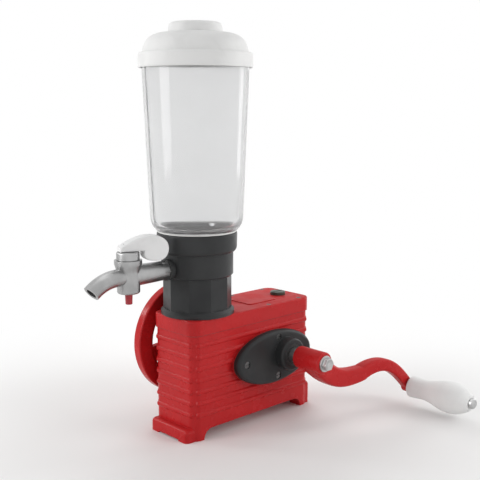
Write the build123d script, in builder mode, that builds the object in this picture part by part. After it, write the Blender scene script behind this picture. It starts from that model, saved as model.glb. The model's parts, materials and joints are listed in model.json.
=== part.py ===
from build123d import *
import os
from math import acos, atan2, cos, exp, hypot, pi, radians, sin, sqrt, tan

# Hand-cranked mango juicer, in millimetres.
# +Z is up. +X runs from the tap end of the gearbox to its crank end. The crank is on the -Y side
# and the flywheel on the +Y side. The origin is on the table, midway between the foot holes.

os.makedirs("parts", exist_ok=True)

# Fits
running_clearance = 0.05
loose_clearance = 0.3
seat_gap = 0.3

# Gear train from the crank to the upright spindle, 20 to 1
spur_module = 1.25
bevel_module = 1.5
pressure_angle = 20.0
backlash = 0.2
flank_steps = 4
dedendum = 1.25
crank_gear_teeth = 60
idler_pinion_teeth = 18
idler_gear_teeth = 48
flywheel_pinion_teeth = 18
flywheel_gear_teeth = 36
layshaft_pinion_teeth = 24
bevel_gear_teeth = 24
bevel_pinion_teeth = 16
first_pair_width = 9.0
second_pair_width = 8.0
third_pair_width = 8.5
bevel_face_width = 7.0
bevel_hub_length = 4.0
bevel_hub_radius = 10.0
bevel_pinion_hub_radius = 8.0
bevel_pinion_hub_length = 8.0
gear_side_gap = 1.5
crank_gear_hub_radius = 15.0
crank_gear_hub_length = 1.0
lightening_hole_count = 6
crank_gear_hole_radius = 6.0
idler_gear_hole_radius = 5.0

# Shafts, bushes and seals
crank_shaft_radius = 9.0
idler_shaft_radius = 6.0
flywheel_shaft_radius = 7.0
spindle_radius = 6.0
bush_wall = 2.5
seal_wall = 4.0
seal_length = 4.0
bore_plug_length = 3.0
spindle_bush_gap = 2.0
shaft_end_gap = 0.5

# Where the shafts lie
tower_setback = 37.0
flywheel_behind_tower = 17.0
flywheel_height = 98.0
idler_direction = -35.2
crank_direction = 7.4

# Gearbox case
case_wall = 6.0
case_floor = 5.0
case_corner = 11.0
boss_height = 3.0
boss_wall = 3.0
boss_gap = 1.0
blind_wall = 2.0
rear_gear_gap = 9.7
top_gear_gap = 13.25
arch_height = 12.0
foot_length = 15.0
end_arch_height = 2.0
end_arch_width = 36.0
toe_reach = 6.0
toe_height = 15.0
toe_rounding = 5.0
toe_side_inset = 3.0
heel_reach = 4.0
heel_height = 28.0
rib_count = 7
rib_top_margin = 10.5
rib_radius = 3.6
rib_inset = 1.9
rib_end_inset = 8.0
lowest_rib = 30.5
pad_height = 3.0
foot_hole_radius = 3.4
foot_hole_depth = 13.0
foot_hole_end_inset = 8.0
foot_hole_side_inset = 12.0

# Top cover
cover_gasket_thickness = 1.0
cover_skirt = 17.0
cover_plate = 5.0
cover_overhang = 1.6
cover_edge_rounding = 2.0
cover_screw_radius = 1.7
cover_screw_head_radius = 3.0
cover_screw_depth = 12.0
cover_screw_side_inset = 4.0
cover_screw_end_inset = 16.0
spindle_boss_wall = 4.0
spindle_boss_gap = 1.5
raised_pad_length = 46.0
raised_pad_width = 40.0
raised_pad_height = 0.8
raised_pad_corner = 4.0
oil_plug_radius = 9.5
oil_plug_height = 4.0
oil_plug_rounding = 1.2
oil_plug_thread_radius = 6.5
oil_plug_thread_length = 9.0
oil_plug_end_inset = 21.0
oil_plug_side = -1.0
screw_slot_width = 1.0
screw_slot_depth = 1.0
slot_overrun = 3.0

# Oval bearing flange on the crank side
flange_half_length = 62.5
flange_half_height = 32.0
flange_ahead_of_crank = 16.0
flange_below_crank = 2.5
flange_thickness = 8.0
flange_edge_rounding = 4.5
flange_gasket_thickness = 0.5
flange_boss_radius = 19.5
flange_boss_length = 13.0
flange_boss_rounding = 2.5
flange_spigot_radius = 16.0
flange_screw_radius = 2.5
flange_screw_head_radius = 4.2
flange_screw_head_height = 3.0
flange_screw_sink = 4.0
flange_screw_depth = 9.0
flange_screw_side = 48.0
flange_screw_rise = 23.5
flange_screw_shift = 4.0

# Crank
crank_radius = 156.5
crank_drop = 21.2
crank_hub_radius = 13.0
crank_hub_length = 39.0
crank_hub_standoff = 10.0
crank_square = 11.0
crank_thread_radius = 5.0
crank_washer_radius = 9.6
crank_washer_thickness = 2.0
crank_nut_flats = 13.0
crank_nut_height = 5.5
arm_dip = 12.2
arm_crest = 17.3
arm_crossing = 0.48
arm_crest_lean = 0.87
arm_root_width = 25.4
arm_tip_width = 13.5
arm_taper_share = 0.5
arm_root_thickness = 22.0
arm_tip_thickness = 11.0
arm_edge_rounding = 0.36
arm_dogleg = 34.0
arm_stations = 9
arm_start_share = 0.04
arm_end_share = 0.98
arm_heading_step = 0.01
arm_boss_radius = 8.0
handle_pin_radius = 5.0
grip_length = 85.0
grip_collar_radius = 13.6
grip_neck_radius = 12.6
grip_belly_radius = 18.7
grip_end_radius = 9.0
grip_collar_share = 0.08
grip_neck_share = 0.22
grip_belly_share = 0.66
pin_head_radius = 6.5
pin_head_length = 5.0

# Flywheel
flywheel_radius = 68.5
flywheel_rim_width = 12.0
flywheel_rim_depth = 17.0
flywheel_web_width = 7.0
flywheel_hub_radius = 16.0
flywheel_hub_length = 18.0
flywheel_standoff = 2.0
flywheel_window_count = 6
flywheel_window_sweep = 36.0
flywheel_window_turn = 167.0
flywheel_window_inner = 27.0
flywheel_window_outer = 47.5
flywheel_edge_rounding = 2.0
flywheel_seat_radius = 6.0
flywheel_thread_radius = 5.0
flywheel_nut_flats = 16.0
flywheel_nut_height = 8.0

# Tower base
tower_flange_radius = 42.3
tower_flange_height = 7.0
tower_flange_chamfer = 3.0
tower_facets = 10
tower_radius = 39.5
tower_height = 44.0
tower_bore_radius = 29.0
tower_floor = 6.0
tower_screw_radius = 1.8
tower_screw_head_radius = 2.9
tower_screw_head_height = 2.6
tower_screw_depth = 11.0
tower_screw_boss_radius = 5.0
locating_pin_radius = 1.5
locating_pin_rise = 3.0
locating_pin_root = 6.0

# Dog clutch
dog_radius = 14.0
dog_bore_wall = 2.0
dog_plate = 6.0
dog_lug_height = 7.0
dog_lug_count = 3
dog_lug_sweep = 54.0
dog_above_cover = 10.0

# Chamber, collar and jar
spigot_radius = 33.0
spigot_wall = 4.0
spigot_depth = 12.0
chamber_radius = 41.4
chamber_bore_radius = 36.0
chamber_floor = 4.0
chamber_height = 27.5
chamber_chamfer = 2.0
chamber_socket_wall = 3.2
blade_boss_radius = 12.0
blade_boss_drop = 13.0
collar_radius = 46.1
collar_height = 22.9
collar_lap = 9.5
collar_chamfer = 4.0
jar_gasket_thickness = 1.6
jar_gasket_width = 2.8
jar_neck_radius = 42.5
jar_wall = 3.0
jar_shoulder_radius = 46.0
jar_belly_radius = 53.4
jar_belly_rise = 28.0
jar_rim_radius = 60.2
jar_height = 192.0

# Blade
blade_shaft_radius = 5.0
blade_bush_wall = 3.0
blade_seal_height = 4.0
blade_collar_radius = 7.5
blade_collar_height = 6.0
blade_thread_radius = 4.0
blade_thickness = 2.0
blade_reach = 27.0
blade_width = 10.0
blade_hub_radius = 9.0
blade_bend_radius = 7.0
blade_lift = 28.0
blade_nut_flats = 11.0
blade_nut_height = 6.0

# Tap
tap_rise = 11.0
tap_pipe_radius = 12.0
tap_pipe_taper = 1.4
tap_tail_radius = 8.0
tap_bore_radius = 6.0
tap_boss_radius = 12.0
tap_boss_reach = 4.6
tap_washer_thickness = 1.5
tap_hex_flats = 20.0
tap_hex_length = 7.0
cock_reach = 97.0
cock_radius = 12.4
cock_flare_radius = 15.0
cock_flare_rim = 4.0
cock_flare_height = 9.0
cock_plug_radius = 9.0
cock_above_pipe = 18.0
cock_below_pipe = 18.4
cock_floor = 5.0
cock_edge_rounding = 2.5
cock_cap_radius = 12.5
cock_cap_height = 9.0
cock_cap_rounding = 2.0
cock_stem_radius = 5.0
cock_tail_radius = 2.5
spout_radius = 9.4
spout_bend = 51.0
spout_turn = 40.0
spout_start = 14.5
lever_turn = -19.0
lever_width = 15.0
lever_rounding = 2.0
lever_reach = 44.0
lever_heel = 10.0
lever_height = 16.0
lever_drop = 11.5
lever_back = [(0.3, 0.95), (0.66, 1.0), (0.94, 0.6)]
lever_belly = [(1.0, 0.1), (0.88, 0.85), (0.62, 1.0), (0.4, 0.75), (0.36, 0.0)]
lever_heel_rise = 0.3
tip_radius = 4.2
tip_length = 11.8
tip_taper = 0.5

# Lid and its cap
lid_radius = 64.0
lid_wall = 3.0
lid_lap = 11.3
lid_seal_thickness = 2.0
lid_plug_radius = 56.0
lid_plug_depth = 8.0
lid_band_rounding = 5.0
lid_skirt_rounding = 2.0
dome_radius = 59.2
dome_top_radius = 38.0
dome_side_height = 5.0
dome_height = 21.5
dome_draft = 1.0
filler_radius = 22.0
filler_collar_depth = 6.0
cap_radius = 30.0
cap_height = 11.4
cap_rounding = 4.0
cap_wall = 2.5
cap_plug_depth = 7.0


def pair_distance(module, teeth, mate_teeth):
    """Centre distance of two meshing gears."""
    return module * (teeth + mate_teeth) / 2


def tip_radius_of(module, teeth):
    """Outside radius of a spur gear."""
    return module * (teeth / 2 + 1)


# Stations across the case: the pairs stand beside the spindle and the walls stand beside the pairs
second_pair_far = -(spindle_radius + gear_side_gap)
second_pair_near = second_pair_far - second_pair_width
first_pair_far = second_pair_near - gear_side_gap
first_pair_near = first_pair_far - first_pair_width
boss_face = boss_gap - first_pair_near
inner_half_width = boss_face + boss_height
case_width = 2 * (inner_half_width + case_wall)
outer_half_width = case_width / 2
pad_face = outer_half_width + pad_height
bevel_gear_plane = bevel_module * bevel_pinion_teeth / 2
bevel_pinion_plane = bevel_module * bevel_gear_teeth / 2
bevel_inner_share = 1 - bevel_face_width / hypot(bevel_gear_plane, bevel_pinion_plane)
third_pair_near = bevel_gear_plane + bevel_hub_length
third_pair_far = third_pair_near + third_pair_width

# Shaft axes, as (x, z), and the length of the case that they ask for
idler_distance = pair_distance(spur_module, idler_gear_teeth, flywheel_pinion_teeth)
crank_distance = pair_distance(spur_module, crank_gear_teeth, idler_pinion_teeth)
layshaft_distance = pair_distance(spur_module, flywheel_gear_teeth, layshaft_pinion_teeth)
idler_angle = radians(idler_direction)
crank_angle = radians(crank_direction)
crank_gear_tip = tip_radius_of(spur_module, crank_gear_teeth)
crank_behind_tower = (
    flywheel_behind_tower + idler_distance * cos(idler_angle) + crank_distance * cos(crank_angle)
)
case_length = tower_setback + crank_behind_tower + crank_gear_tip + rear_gear_gap + case_wall
tower_x = tower_setback - case_length / 2
flywheel_axis = (tower_x + flywheel_behind_tower, flywheel_height)
idler_axis = (
    flywheel_axis[0] + idler_distance * cos(idler_angle),
    flywheel_height + idler_distance * sin(idler_angle),
)
crank_axis = (
    idler_axis[0] + crank_distance * cos(crank_angle),
    idler_axis[1] + crank_distance * sin(crank_angle),
)
layshaft_axis = (tower_x, flywheel_height - sqrt(layshaft_distance**2 - flywheel_behind_tower**2))

# Heights
cover_underside = flywheel_height + tip_radius_of(spur_module, flywheel_gear_teeth) + top_gear_gap
cover_top = cover_underside + cover_plate
cover_bottom = cover_top - cover_skirt
case_height = cover_bottom - cover_gasket_thickness
rib_pitch = (case_height - rib_top_margin - lowest_rib) / (rib_count - 1)
case_inner_floor = arch_height + case_floor
spindle_boss_bottom = (
    flywheel_height + tip_radius_of(spur_module, flywheel_pinion_teeth) + spindle_boss_gap
)
tower_top = cover_top + tower_height
chamber_top = tower_top + chamber_height
collar_top = chamber_top + collar_height
jar_seat = collar_top + jar_gasket_thickness
jar_rim = jar_seat + jar_height
lid_underside = jar_rim + lid_seal_thickness
lid_band_top = lid_underside + lid_wall
lid_top = lid_band_top + dome_height
tap_z = tower_top + tap_rise
cock_x = tower_x - cock_reach
cock_top = tap_z + cock_above_pipe
cock_bottom = tap_z - cock_below_pipe
tap_boss_x = tower_x - chamber_radius - tap_boss_reach

# Frames that several pieces are drawn in
tower_plane = Plane((tower_x, 0, 0), x_dir=(1, 0, 0), z_dir=(0, -1, 0))
tower_line = Axis((tower_x, 0, 0), (0, 0, 1))
wedge_align = (Align.NONE, Align.NONE, Align.CENTER)


def write_piece(piece, name):
    """Label a finished piece and write its STEP file."""
    piece.part.label = name
    export_step(piece.part, f"parts/{name}.step")


def y_rod(radius, axis, y_from, y_to, mode=Mode.ADD):
    """Cylinder along Y on an (x, z) axis, in the part that is open."""
    with Locations((axis[0], (y_from + y_to) / 2, axis[1])):
        Cylinder(radius, abs(y_to - y_from), rotation=(90, 0, 0), mode=mode)


def z_rod(radius, place, z_from, z_to, mode=Mode.ADD):
    """Upright cylinder at an (x, y) place, in the part that is open."""
    with Locations((place[0], place[1], (z_from + z_to) / 2)):
        Cylinder(radius, abs(z_to - z_from), mode=mode)


def x_rod(radius, place, x_from, x_to, mode=Mode.ADD):
    """Cylinder along X at a (y, z) place, in the part that is open."""
    with Locations(((x_from + x_to) / 2, place[0], place[1])):
        Cylinder(radius, abs(x_to - x_from), rotation=(0, 90, 0), mode=mode)


def involute(angle):
    """Involute function of a pressure angle."""
    return tan(angle) - angle


def tooth_flank(pitch_radius, tooth_count, module):
    """Half widths of a tooth from root to tip, as (radius, half angle) pairs.

    The flank is the involute of the base circle in straight steps, and runs radially below that
    circle. Each tooth is thinned by the backlash, measured along the pitch circle.
    """
    base_radius = pitch_radius * cos(radians(pressure_angle))
    tip = pitch_radius + module
    root = pitch_radius - dedendum * module
    half_tooth = pi / (2 * tooth_count) - backlash / (2 * pitch_radius)
    start = max(base_radius, root)
    flank = []
    for step in range(flank_steps + 1):
        radius = start + (tip - start) * step / flank_steps
        widening = involute(radians(pressure_angle)) - involute(acos(base_radius / radius))
        flank.append((radius, half_tooth + widening))
    if root < base_radius:
        flank.insert(0, (root, flank[0][1]))
    return flank


def ring_of_teeth(flank, teeth, first_tooth):
    """Closed outline that repeats a tooth's flank pairs round a circle from a first tooth's angle."""
    points = []
    for tooth in range(teeth):
        centre = first_tooth + 2 * pi * tooth / teeth
        rising = [(radius, centre - half) for radius, half in flank]
        falling = [(radius, centre + half) for radius, half in reversed(flank)]
        points += [(radius * cos(angle), radius * sin(angle)) for radius, angle in rising + falling]
    return points


def spur_outline(teeth, first_tooth):
    """Outline of a spur gear whose first tooth points along the given angle in radians."""
    flank = tooth_flank(spur_module * teeth / 2, teeth, spur_module)
    return ring_of_teeth(flank, teeth, first_tooth)


def bevel_outline(teeth, mate_teeth, share, first_tooth):
    """Outline of a bevel gear in the plane that lies at a share of its pitch plane's distance.

    The tooth form is drawn on the back cone, then carried along rays from the apex to the plane.
    """
    cone = atan2(teeth, mate_teeth)
    pitch_radius = bevel_module * teeth / 2
    pitch_distance = pitch_radius / tan(cone)
    back_radius = pitch_radius / cos(cone)
    plane_flank = []
    for radius, half in tooth_flank(back_radius, teeth / cos(cone), bevel_module):
        height = radius - back_radius
        ray = share * pitch_distance / (pitch_distance - height * sin(cone))
        plane_flank.append(((pitch_radius + height * cos(cone)) * ray, half / cos(cone)))
    return ring_of_teeth(plane_flank, teeth, first_tooth)


def mesh_angle(axis, teeth, first_tooth, mate_axis, mate_teeth):
    """First-tooth angle of a mate that meshes with a gear whose own first tooth is known."""
    towards_mate = atan2(mate_axis[1] - axis[1], mate_axis[0] - axis[0])
    turn = (towards_mate - first_tooth) * teeth / mate_teeth
    return towards_mate + pi + turn + pi / mate_teeth


crank_gear_tooth = 0.0
idler_pinion_tooth = mesh_angle(
    crank_axis, crank_gear_teeth, crank_gear_tooth, idler_axis, idler_pinion_teeth
)
idler_gear_tooth = 0.0
flywheel_pinion_tooth = mesh_angle(
    idler_axis, idler_gear_teeth, idler_gear_tooth, flywheel_axis, flywheel_pinion_teeth
)
flywheel_gear_tooth = 0.0
layshaft_pinion_tooth = mesh_angle(
    flywheel_axis, flywheel_gear_teeth, flywheel_gear_tooth, layshaft_axis, layshaft_pinion_teeth
)
bevel_gear_tooth = pi / 2
bevel_pinion_tooth = pi / 2 + pi / bevel_pinion_teeth

# Places that are shared by holes and what goes into them
foot_holes = [
    (side_x * (case_length / 2 - foot_hole_end_inset), side_y * (outer_half_width - foot_hole_side_inset))
    for side_x in (-1, 1)
    for side_y in (-1, 1)
]
cover_screw_stations = [
    tower_x - cover_screw_end_inset,
    (case_length / 2 + tower_x + cover_screw_end_inset) / 2,
    case_length / 2 - cover_screw_end_inset,
]
cover_screw_places = [
    (x, side * (outer_half_width - cover_screw_side_inset)) for x in cover_screw_stations for side in (-1, 1)
]
oil_plug_place = (case_length / 2 - oil_plug_end_inset, oil_plug_side)
raised_pad_x = (tower_x + tower_flange_radius + case_length / 2 - 2 * oil_plug_radius) / 2
flange_centre = (crank_axis[0] - flange_ahead_of_crank, crank_axis[1] - flange_below_crank)
flange_screw_places = [
    (flange_centre[0] - flange_screw_side, flange_centre[1]),
    (flange_centre[0] + flange_screw_side, flange_centre[1]),
    (flange_centre[0] + flange_screw_shift, flange_centre[1] - flange_screw_rise),
    (flange_centre[0] + flange_screw_shift, flange_centre[1] + flange_screw_rise),
]
tower_eye_radius = dog_radius + gear_side_gap
tower_screw_circle = (tower_eye_radius + tower_bore_radius) / 2
tower_screw_places = [
    (tower_x + tower_screw_circle * cos(angle), tower_screw_circle * sin(angle))
    for angle in (pi * quarter / 2 + pi / 4 for quarter in range(4))
]
locating_pin_circle = (spigot_radius + loose_clearance + tower_radius * cos(pi / tower_facets)) / 2
locating_pin_places = [(tower_x, side * locating_pin_circle) for side in (-1, 1)]

# Bores of the bushes
crank_bush_radius = crank_shaft_radius + bush_wall
idler_bush_radius = idler_shaft_radius + bush_wall
flywheel_bush_radius = flywheel_shaft_radius + bush_wall
spindle_bush_radius = spindle_radius + bush_wall
crank_seal_radius = crank_shaft_radius + seal_wall
flywheel_seal_radius = flywheel_shaft_radius + seal_wall
spindle_seal_radius = spindle_radius + seal_wall
blind_end = outer_half_width - blind_wall

# Stations of the oval flange along its bore, counted outwards from the case
flange_gasket_face = pad_face + flange_gasket_thickness
flange_face = flange_gasket_face + flange_thickness
flange_boss_face = flange_face + flange_boss_length
flange_screw_seat = flange_face - flange_screw_sink
crank_seal_start = flange_boss_face - seal_length

# Gearbox case


def foot_block(side, reach, height):
    """Rounded block that carries a foot out past one end of the case."""
    with BuildPart() as block:
        with BuildSketch():
            with Locations((side * (case_length / 2 + reach - case_corner), 0)):
                RectangleRounded(2 * case_corner + reach, case_width - 2 * toe_side_inset, case_corner / 2)
        extrude(amount=height)
        fillet(block.faces().sort_by(Axis.Z)[-1].edges(), toe_rounding)
    return block.part


rib_x = case_length / 2 - rib_inset
rib_y = outer_half_width - rib_inset
rib_half_x = case_length / 2 - rib_end_inset
rib_half_y = outer_half_width - rib_end_inset
rib_levels = [(side, lowest_rib + rib * rib_pitch) for rib in range(rib_count) for side in (-1, 1)]

with BuildPart() as gearbox_case:
    with BuildSketch():
        RectangleRounded(case_length, case_width, case_corner)
    extrude(amount=case_height)
    add(foot_block(-1, toe_reach, toe_height))
    add(foot_block(1, heel_reach, heel_height))
    with Locations(*[(0, side * rib_y, z) for side, z in rib_levels]):
        Cylinder(rib_radius, 2 * rib_half_x, rotation=(0, 90, 0))
    with Locations(*[(side * rib_x, 0, z) for side, z in rib_levels]):
        Cylinder(rib_radius, 2 * rib_half_y, rotation=(90, 0, 0))
    for end in (-1, 1):
        with Locations(*[(end * rib_half_x, side * rib_y, z) for side, z in rib_levels]):
            Sphere(rib_radius)
        with Locations(*[(side * rib_x, end * rib_half_y, z) for side, z in rib_levels]):
            Sphere(rib_radius)
    with BuildSketch(Plane.XZ):
        with Locations(flange_centre):
            Ellipse(flange_half_length, flange_half_height)
    extrude(amount=pad_face)
    y_rod(flywheel_seal_radius + boss_wall, flywheel_axis, 0, pad_face)
    y_rod(idler_bush_radius + boss_wall, idler_axis, 0, pad_face)
    y_rod(idler_bush_radius + boss_wall, layshaft_axis, 0, pad_face)
    with BuildSketch(Plane.XY.offset(case_inner_floor)):
        RectangleRounded(case_length - 2 * case_wall, 2 * inner_half_width, case_corner - case_wall)
    extrude(amount=case_height, mode=Mode.SUBTRACT)
    for side in (-1, 1):
        y_rod(flywheel_bush_radius + boss_wall, flywheel_axis, side * boss_face, side * blind_end)
        y_rod(idler_bush_radius + boss_wall, idler_axis, side * boss_face, side * blind_end)
        y_rod(idler_bush_radius + boss_wall, layshaft_axis, side * boss_face, side * blind_end)
    y_rod(crank_bush_radius + boss_wall, crank_axis, boss_face, blind_end)
    y_rod(flywheel_bush_radius, flywheel_axis, -blind_end, pad_face, mode=Mode.SUBTRACT)
    y_rod(flywheel_seal_radius, flywheel_axis, pad_face - seal_length, pad_face, mode=Mode.SUBTRACT)
    y_rod(idler_bush_radius, idler_axis, -blind_end, pad_face, mode=Mode.SUBTRACT)
    y_rod(idler_bush_radius, layshaft_axis, -blind_end, pad_face, mode=Mode.SUBTRACT)
    y_rod(crank_bush_radius, crank_axis, 0, blind_end, mode=Mode.SUBTRACT)
    y_rod(flange_spigot_radius, crank_axis, 0, -pad_face, mode=Mode.SUBTRACT)
    for place in flange_screw_places:
        y_rod(flange_screw_radius, place, -pad_face, flange_screw_depth - pad_face, mode=Mode.SUBTRACT)
    for place in cover_screw_places:
        z_rod(cover_screw_radius, place, case_height - cover_screw_depth, case_height, mode=Mode.SUBTRACT)
    with BuildSketch(Plane.XZ):
        SlotOverall(case_length - 2 * foot_length, 2 * arch_height)
    extrude(amount=case_width, both=True, mode=Mode.SUBTRACT)
    with BuildSketch(Plane.YZ):
        Rectangle(end_arch_width, 2 * end_arch_height)
    extrude(amount=case_length, both=True, mode=Mode.SUBTRACT)
    for place in foot_holes:
        z_rod(foot_hole_radius, place, 0, foot_hole_depth, mode=Mode.SUBTRACT)
write_piece(gearbox_case, "gearbox_case")

# Top cover with the spindle's bearing boss

with BuildPart() as cover_gasket:
    with BuildSketch(Plane.XY.offset(case_height)):
        RectangleRounded(case_length, case_width, case_corner)
        RectangleRounded(
            case_length - 2 * case_wall, 2 * inner_half_width, case_corner - case_wall, mode=Mode.SUBTRACT
        )
        with Locations(*cover_screw_places):
            Circle(cover_screw_radius, mode=Mode.SUBTRACT)
    extrude(amount=cover_gasket_thickness)
write_piece(cover_gasket, "cover_gasket")

with BuildPart() as top_cover:
    with BuildSketch(Plane.XY.offset(cover_bottom)):
        RectangleRounded(
            case_length + 2 * cover_overhang, case_width + 2 * cover_overhang, case_corner + cover_overhang
        )
    extrude(amount=cover_skirt)
    fillet(top_cover.faces().sort_by(Axis.Z)[-1].edges(), cover_edge_rounding)
    with BuildSketch(Plane.XY.offset(cover_top)):
        with Locations((raised_pad_x, 0)):
            RectangleRounded(raised_pad_length, raised_pad_width, raised_pad_corner)
    extrude(amount=raised_pad_height)
    with BuildSketch(Plane.XY.offset(cover_bottom)):
        RectangleRounded(case_length - 2 * case_wall, 2 * inner_half_width, case_corner - case_wall)
    extrude(amount=cover_skirt - cover_plate, mode=Mode.SUBTRACT)
    z_rod(spindle_bush_radius + spindle_boss_wall, (tower_x, 0), spindle_boss_bottom, cover_underside)
    for place in tower_screw_places:
        z_rod(tower_screw_boss_radius, place, cover_bottom, cover_underside)
    for place in tower_screw_places:
        z_rod(tower_screw_radius, place, cover_top - tower_screw_depth, cover_top, mode=Mode.SUBTRACT)
    z_rod(spindle_bush_radius, (tower_x, 0), spindle_boss_bottom, cover_top, mode=Mode.SUBTRACT)
    z_rod(spindle_seal_radius, (tower_x, 0), cover_top - seal_length, cover_top, mode=Mode.SUBTRACT)
    z_rod(oil_plug_thread_radius, oil_plug_place, cover_bottom, cover_top, mode=Mode.SUBTRACT)
    with Locations(*[(x, y, cover_top) for x, y in cover_screw_places]):
        CounterSinkHole(cover_screw_radius, cover_screw_head_radius, depth=cover_skirt, counter_sink_angle=90)
write_piece(top_cover, "top_cover")

with BuildPart() as cover_screws:
    head_height = cover_screw_head_radius - cover_screw_radius
    cover_slot_length = slot_overrun * cover_screw_head_radius
    for place in cover_screw_places:
        z_rod(cover_screw_radius, place, case_height - cover_screw_depth, cover_top - head_height)
        with Locations((*place, cover_top - head_height / 2)):
            Cone(cover_screw_radius, cover_screw_head_radius, head_height)
        with Locations((*place, cover_top)):
            Box(cover_slot_length, screw_slot_width, screw_slot_depth, mode=Mode.SUBTRACT)
write_piece(cover_screws, "cover_screws")

with BuildPart() as oil_plug:
    z_rod(oil_plug_radius, oil_plug_place, cover_top, cover_top + oil_plug_height)
    fillet(oil_plug.faces().sort_by(Axis.Z)[-1].edges(), oil_plug_rounding)
    with Locations((*oil_plug_place, cover_top + oil_plug_height)):
        Box(slot_overrun * oil_plug_radius, 2 * screw_slot_width, 2 * screw_slot_depth, mode=Mode.SUBTRACT)
    z_rod(oil_plug_thread_radius, oil_plug_place, cover_top - oil_plug_thread_length, cover_top)
write_piece(oil_plug, "oil_plug")

# Oval bearing flange

with BuildPart() as flange_gasket:
    with BuildSketch(Plane.XZ.offset(pad_face)):
        with Locations(flange_centre):
            Ellipse(flange_half_length, flange_half_height)
        with Locations(crank_axis):
            Circle(flange_spigot_radius, mode=Mode.SUBTRACT)
        with Locations(*flange_screw_places):
            Circle(flange_screw_radius, mode=Mode.SUBTRACT)
    extrude(amount=flange_gasket_thickness)
write_piece(flange_gasket, "flange_gasket")

with BuildPart() as bearing_flange:
    with BuildSketch(Plane.XZ.offset(flange_gasket_face)):
        with Locations(flange_centre):
            Ellipse(flange_half_length, flange_half_height)
    extrude(amount=flange_thickness)
    fillet(bearing_flange.faces().sort_by(Axis.Y)[0].edges(), flange_edge_rounding)
    y_rod(flange_boss_radius, crank_axis, -flange_gasket_face, -flange_boss_face)
    fillet(bearing_flange.faces().sort_by(Axis.Y)[0].edges(), flange_boss_rounding)
    y_rod(flange_spigot_radius, crank_axis, -inner_half_width, -flange_gasket_face)
    y_rod(crank_bush_radius, crank_axis, -inner_half_width, -crank_seal_start, mode=Mode.SUBTRACT)
    y_rod(crank_seal_radius, crank_axis, -crank_seal_start, -flange_boss_face, mode=Mode.SUBTRACT)
    for place in flange_screw_places:
        y_rod(flange_screw_radius, place, -flange_gasket_face, -flange_face, mode=Mode.SUBTRACT)
        y_rod(flange_screw_head_radius, place, -flange_screw_seat, -flange_face, mode=Mode.SUBTRACT)
write_piece(bearing_flange, "bearing_flange")

with BuildPart() as flange_screws:
    screw_head_face = flange_screw_seat + flange_screw_head_height
    flange_slot_length = slot_overrun * flange_screw_head_radius
    for place in flange_screw_places:
        y_rod(flange_screw_radius, place, flange_screw_depth - pad_face, -flange_screw_seat)
        y_rod(flange_screw_head_radius, place, -flange_screw_seat, -screw_head_face)
        with Locations((place[0], -screw_head_face, place[1])):
            Box(flange_slot_length, 2 * screw_slot_depth, screw_slot_width, mode=Mode.SUBTRACT)
write_piece(flange_screws, "flange_screws")

# Bushes, oil seals and bore plugs


def bush(shaft_radius, wall, axis, y_from, y_to):
    """Sleeve along Y round a running shaft, in the part that is open."""
    y_rod(shaft_radius + wall, axis, y_from, y_to)
    y_rod(shaft_radius + running_clearance, axis, y_from, y_to, mode=Mode.SUBTRACT)


def upright_bush(shaft_radius, wall, z_from, z_to):
    """Sleeve on the tower's axis round a running shaft, in the part that is open."""
    z_rod(shaft_radius + wall, (tower_x, 0), z_from, z_to)
    z_rod(shaft_radius + running_clearance, (tower_x, 0), z_from, z_to, mode=Mode.SUBTRACT)


with BuildPart() as crank_bushes:
    bush(crank_shaft_radius, bush_wall, crank_axis, boss_face, blind_end)
    bush(crank_shaft_radius, bush_wall, crank_axis, -inner_half_width, -crank_seal_start)
write_piece(crank_bushes, "crank_bushes")

with BuildPart() as crank_oil_seal:
    bush(crank_shaft_radius, seal_wall, crank_axis, -crank_seal_start, -flange_boss_face)
write_piece(crank_oil_seal, "crank_oil_seal")

with BuildPart() as countershaft_bushes:
    for axis in (idler_axis, layshaft_axis):
        bush(idler_shaft_radius, bush_wall, axis, -blind_end, -boss_face)
        bush(idler_shaft_radius, bush_wall, axis, boss_face, pad_face - bore_plug_length)
write_piece(countershaft_bushes, "countershaft_bushes")

with BuildPart() as bore_plugs:
    for axis in (idler_axis, layshaft_axis):
        y_rod(idler_bush_radius, axis, pad_face - bore_plug_length, pad_face)
write_piece(bore_plugs, "bore_plugs")

with BuildPart() as flywheel_bushes:
    bush(flywheel_shaft_radius, bush_wall, flywheel_axis, -blind_end, -boss_face)
    bush(flywheel_shaft_radius, bush_wall, flywheel_axis, boss_face, pad_face - seal_length)
write_piece(flywheel_bushes, "flywheel_bushes")

with BuildPart() as flywheel_oil_seal:
    bush(flywheel_shaft_radius, seal_wall, flywheel_axis, pad_face - seal_length, pad_face)
write_piece(flywheel_oil_seal, "flywheel_oil_seal")

spindle_bush_span = cover_top - seal_length - spindle_boss_bottom
spindle_bush_length = (spindle_bush_span - spindle_bush_gap) / 2

with BuildPart() as spindle_bushes:
    lower_end = spindle_boss_bottom + spindle_bush_length
    upper_end = cover_top - seal_length
    upright_bush(spindle_radius, bush_wall, spindle_boss_bottom, lower_end)
    upright_bush(spindle_radius, bush_wall, upper_end - spindle_bush_length, upper_end)
write_piece(spindle_bushes, "spindle_bushes")

with BuildPart() as spindle_oil_seal:
    upright_bush(spindle_radius, seal_wall, cover_top - seal_length, cover_top)
write_piece(spindle_oil_seal, "spindle_oil_seal")

# Tower base

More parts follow.
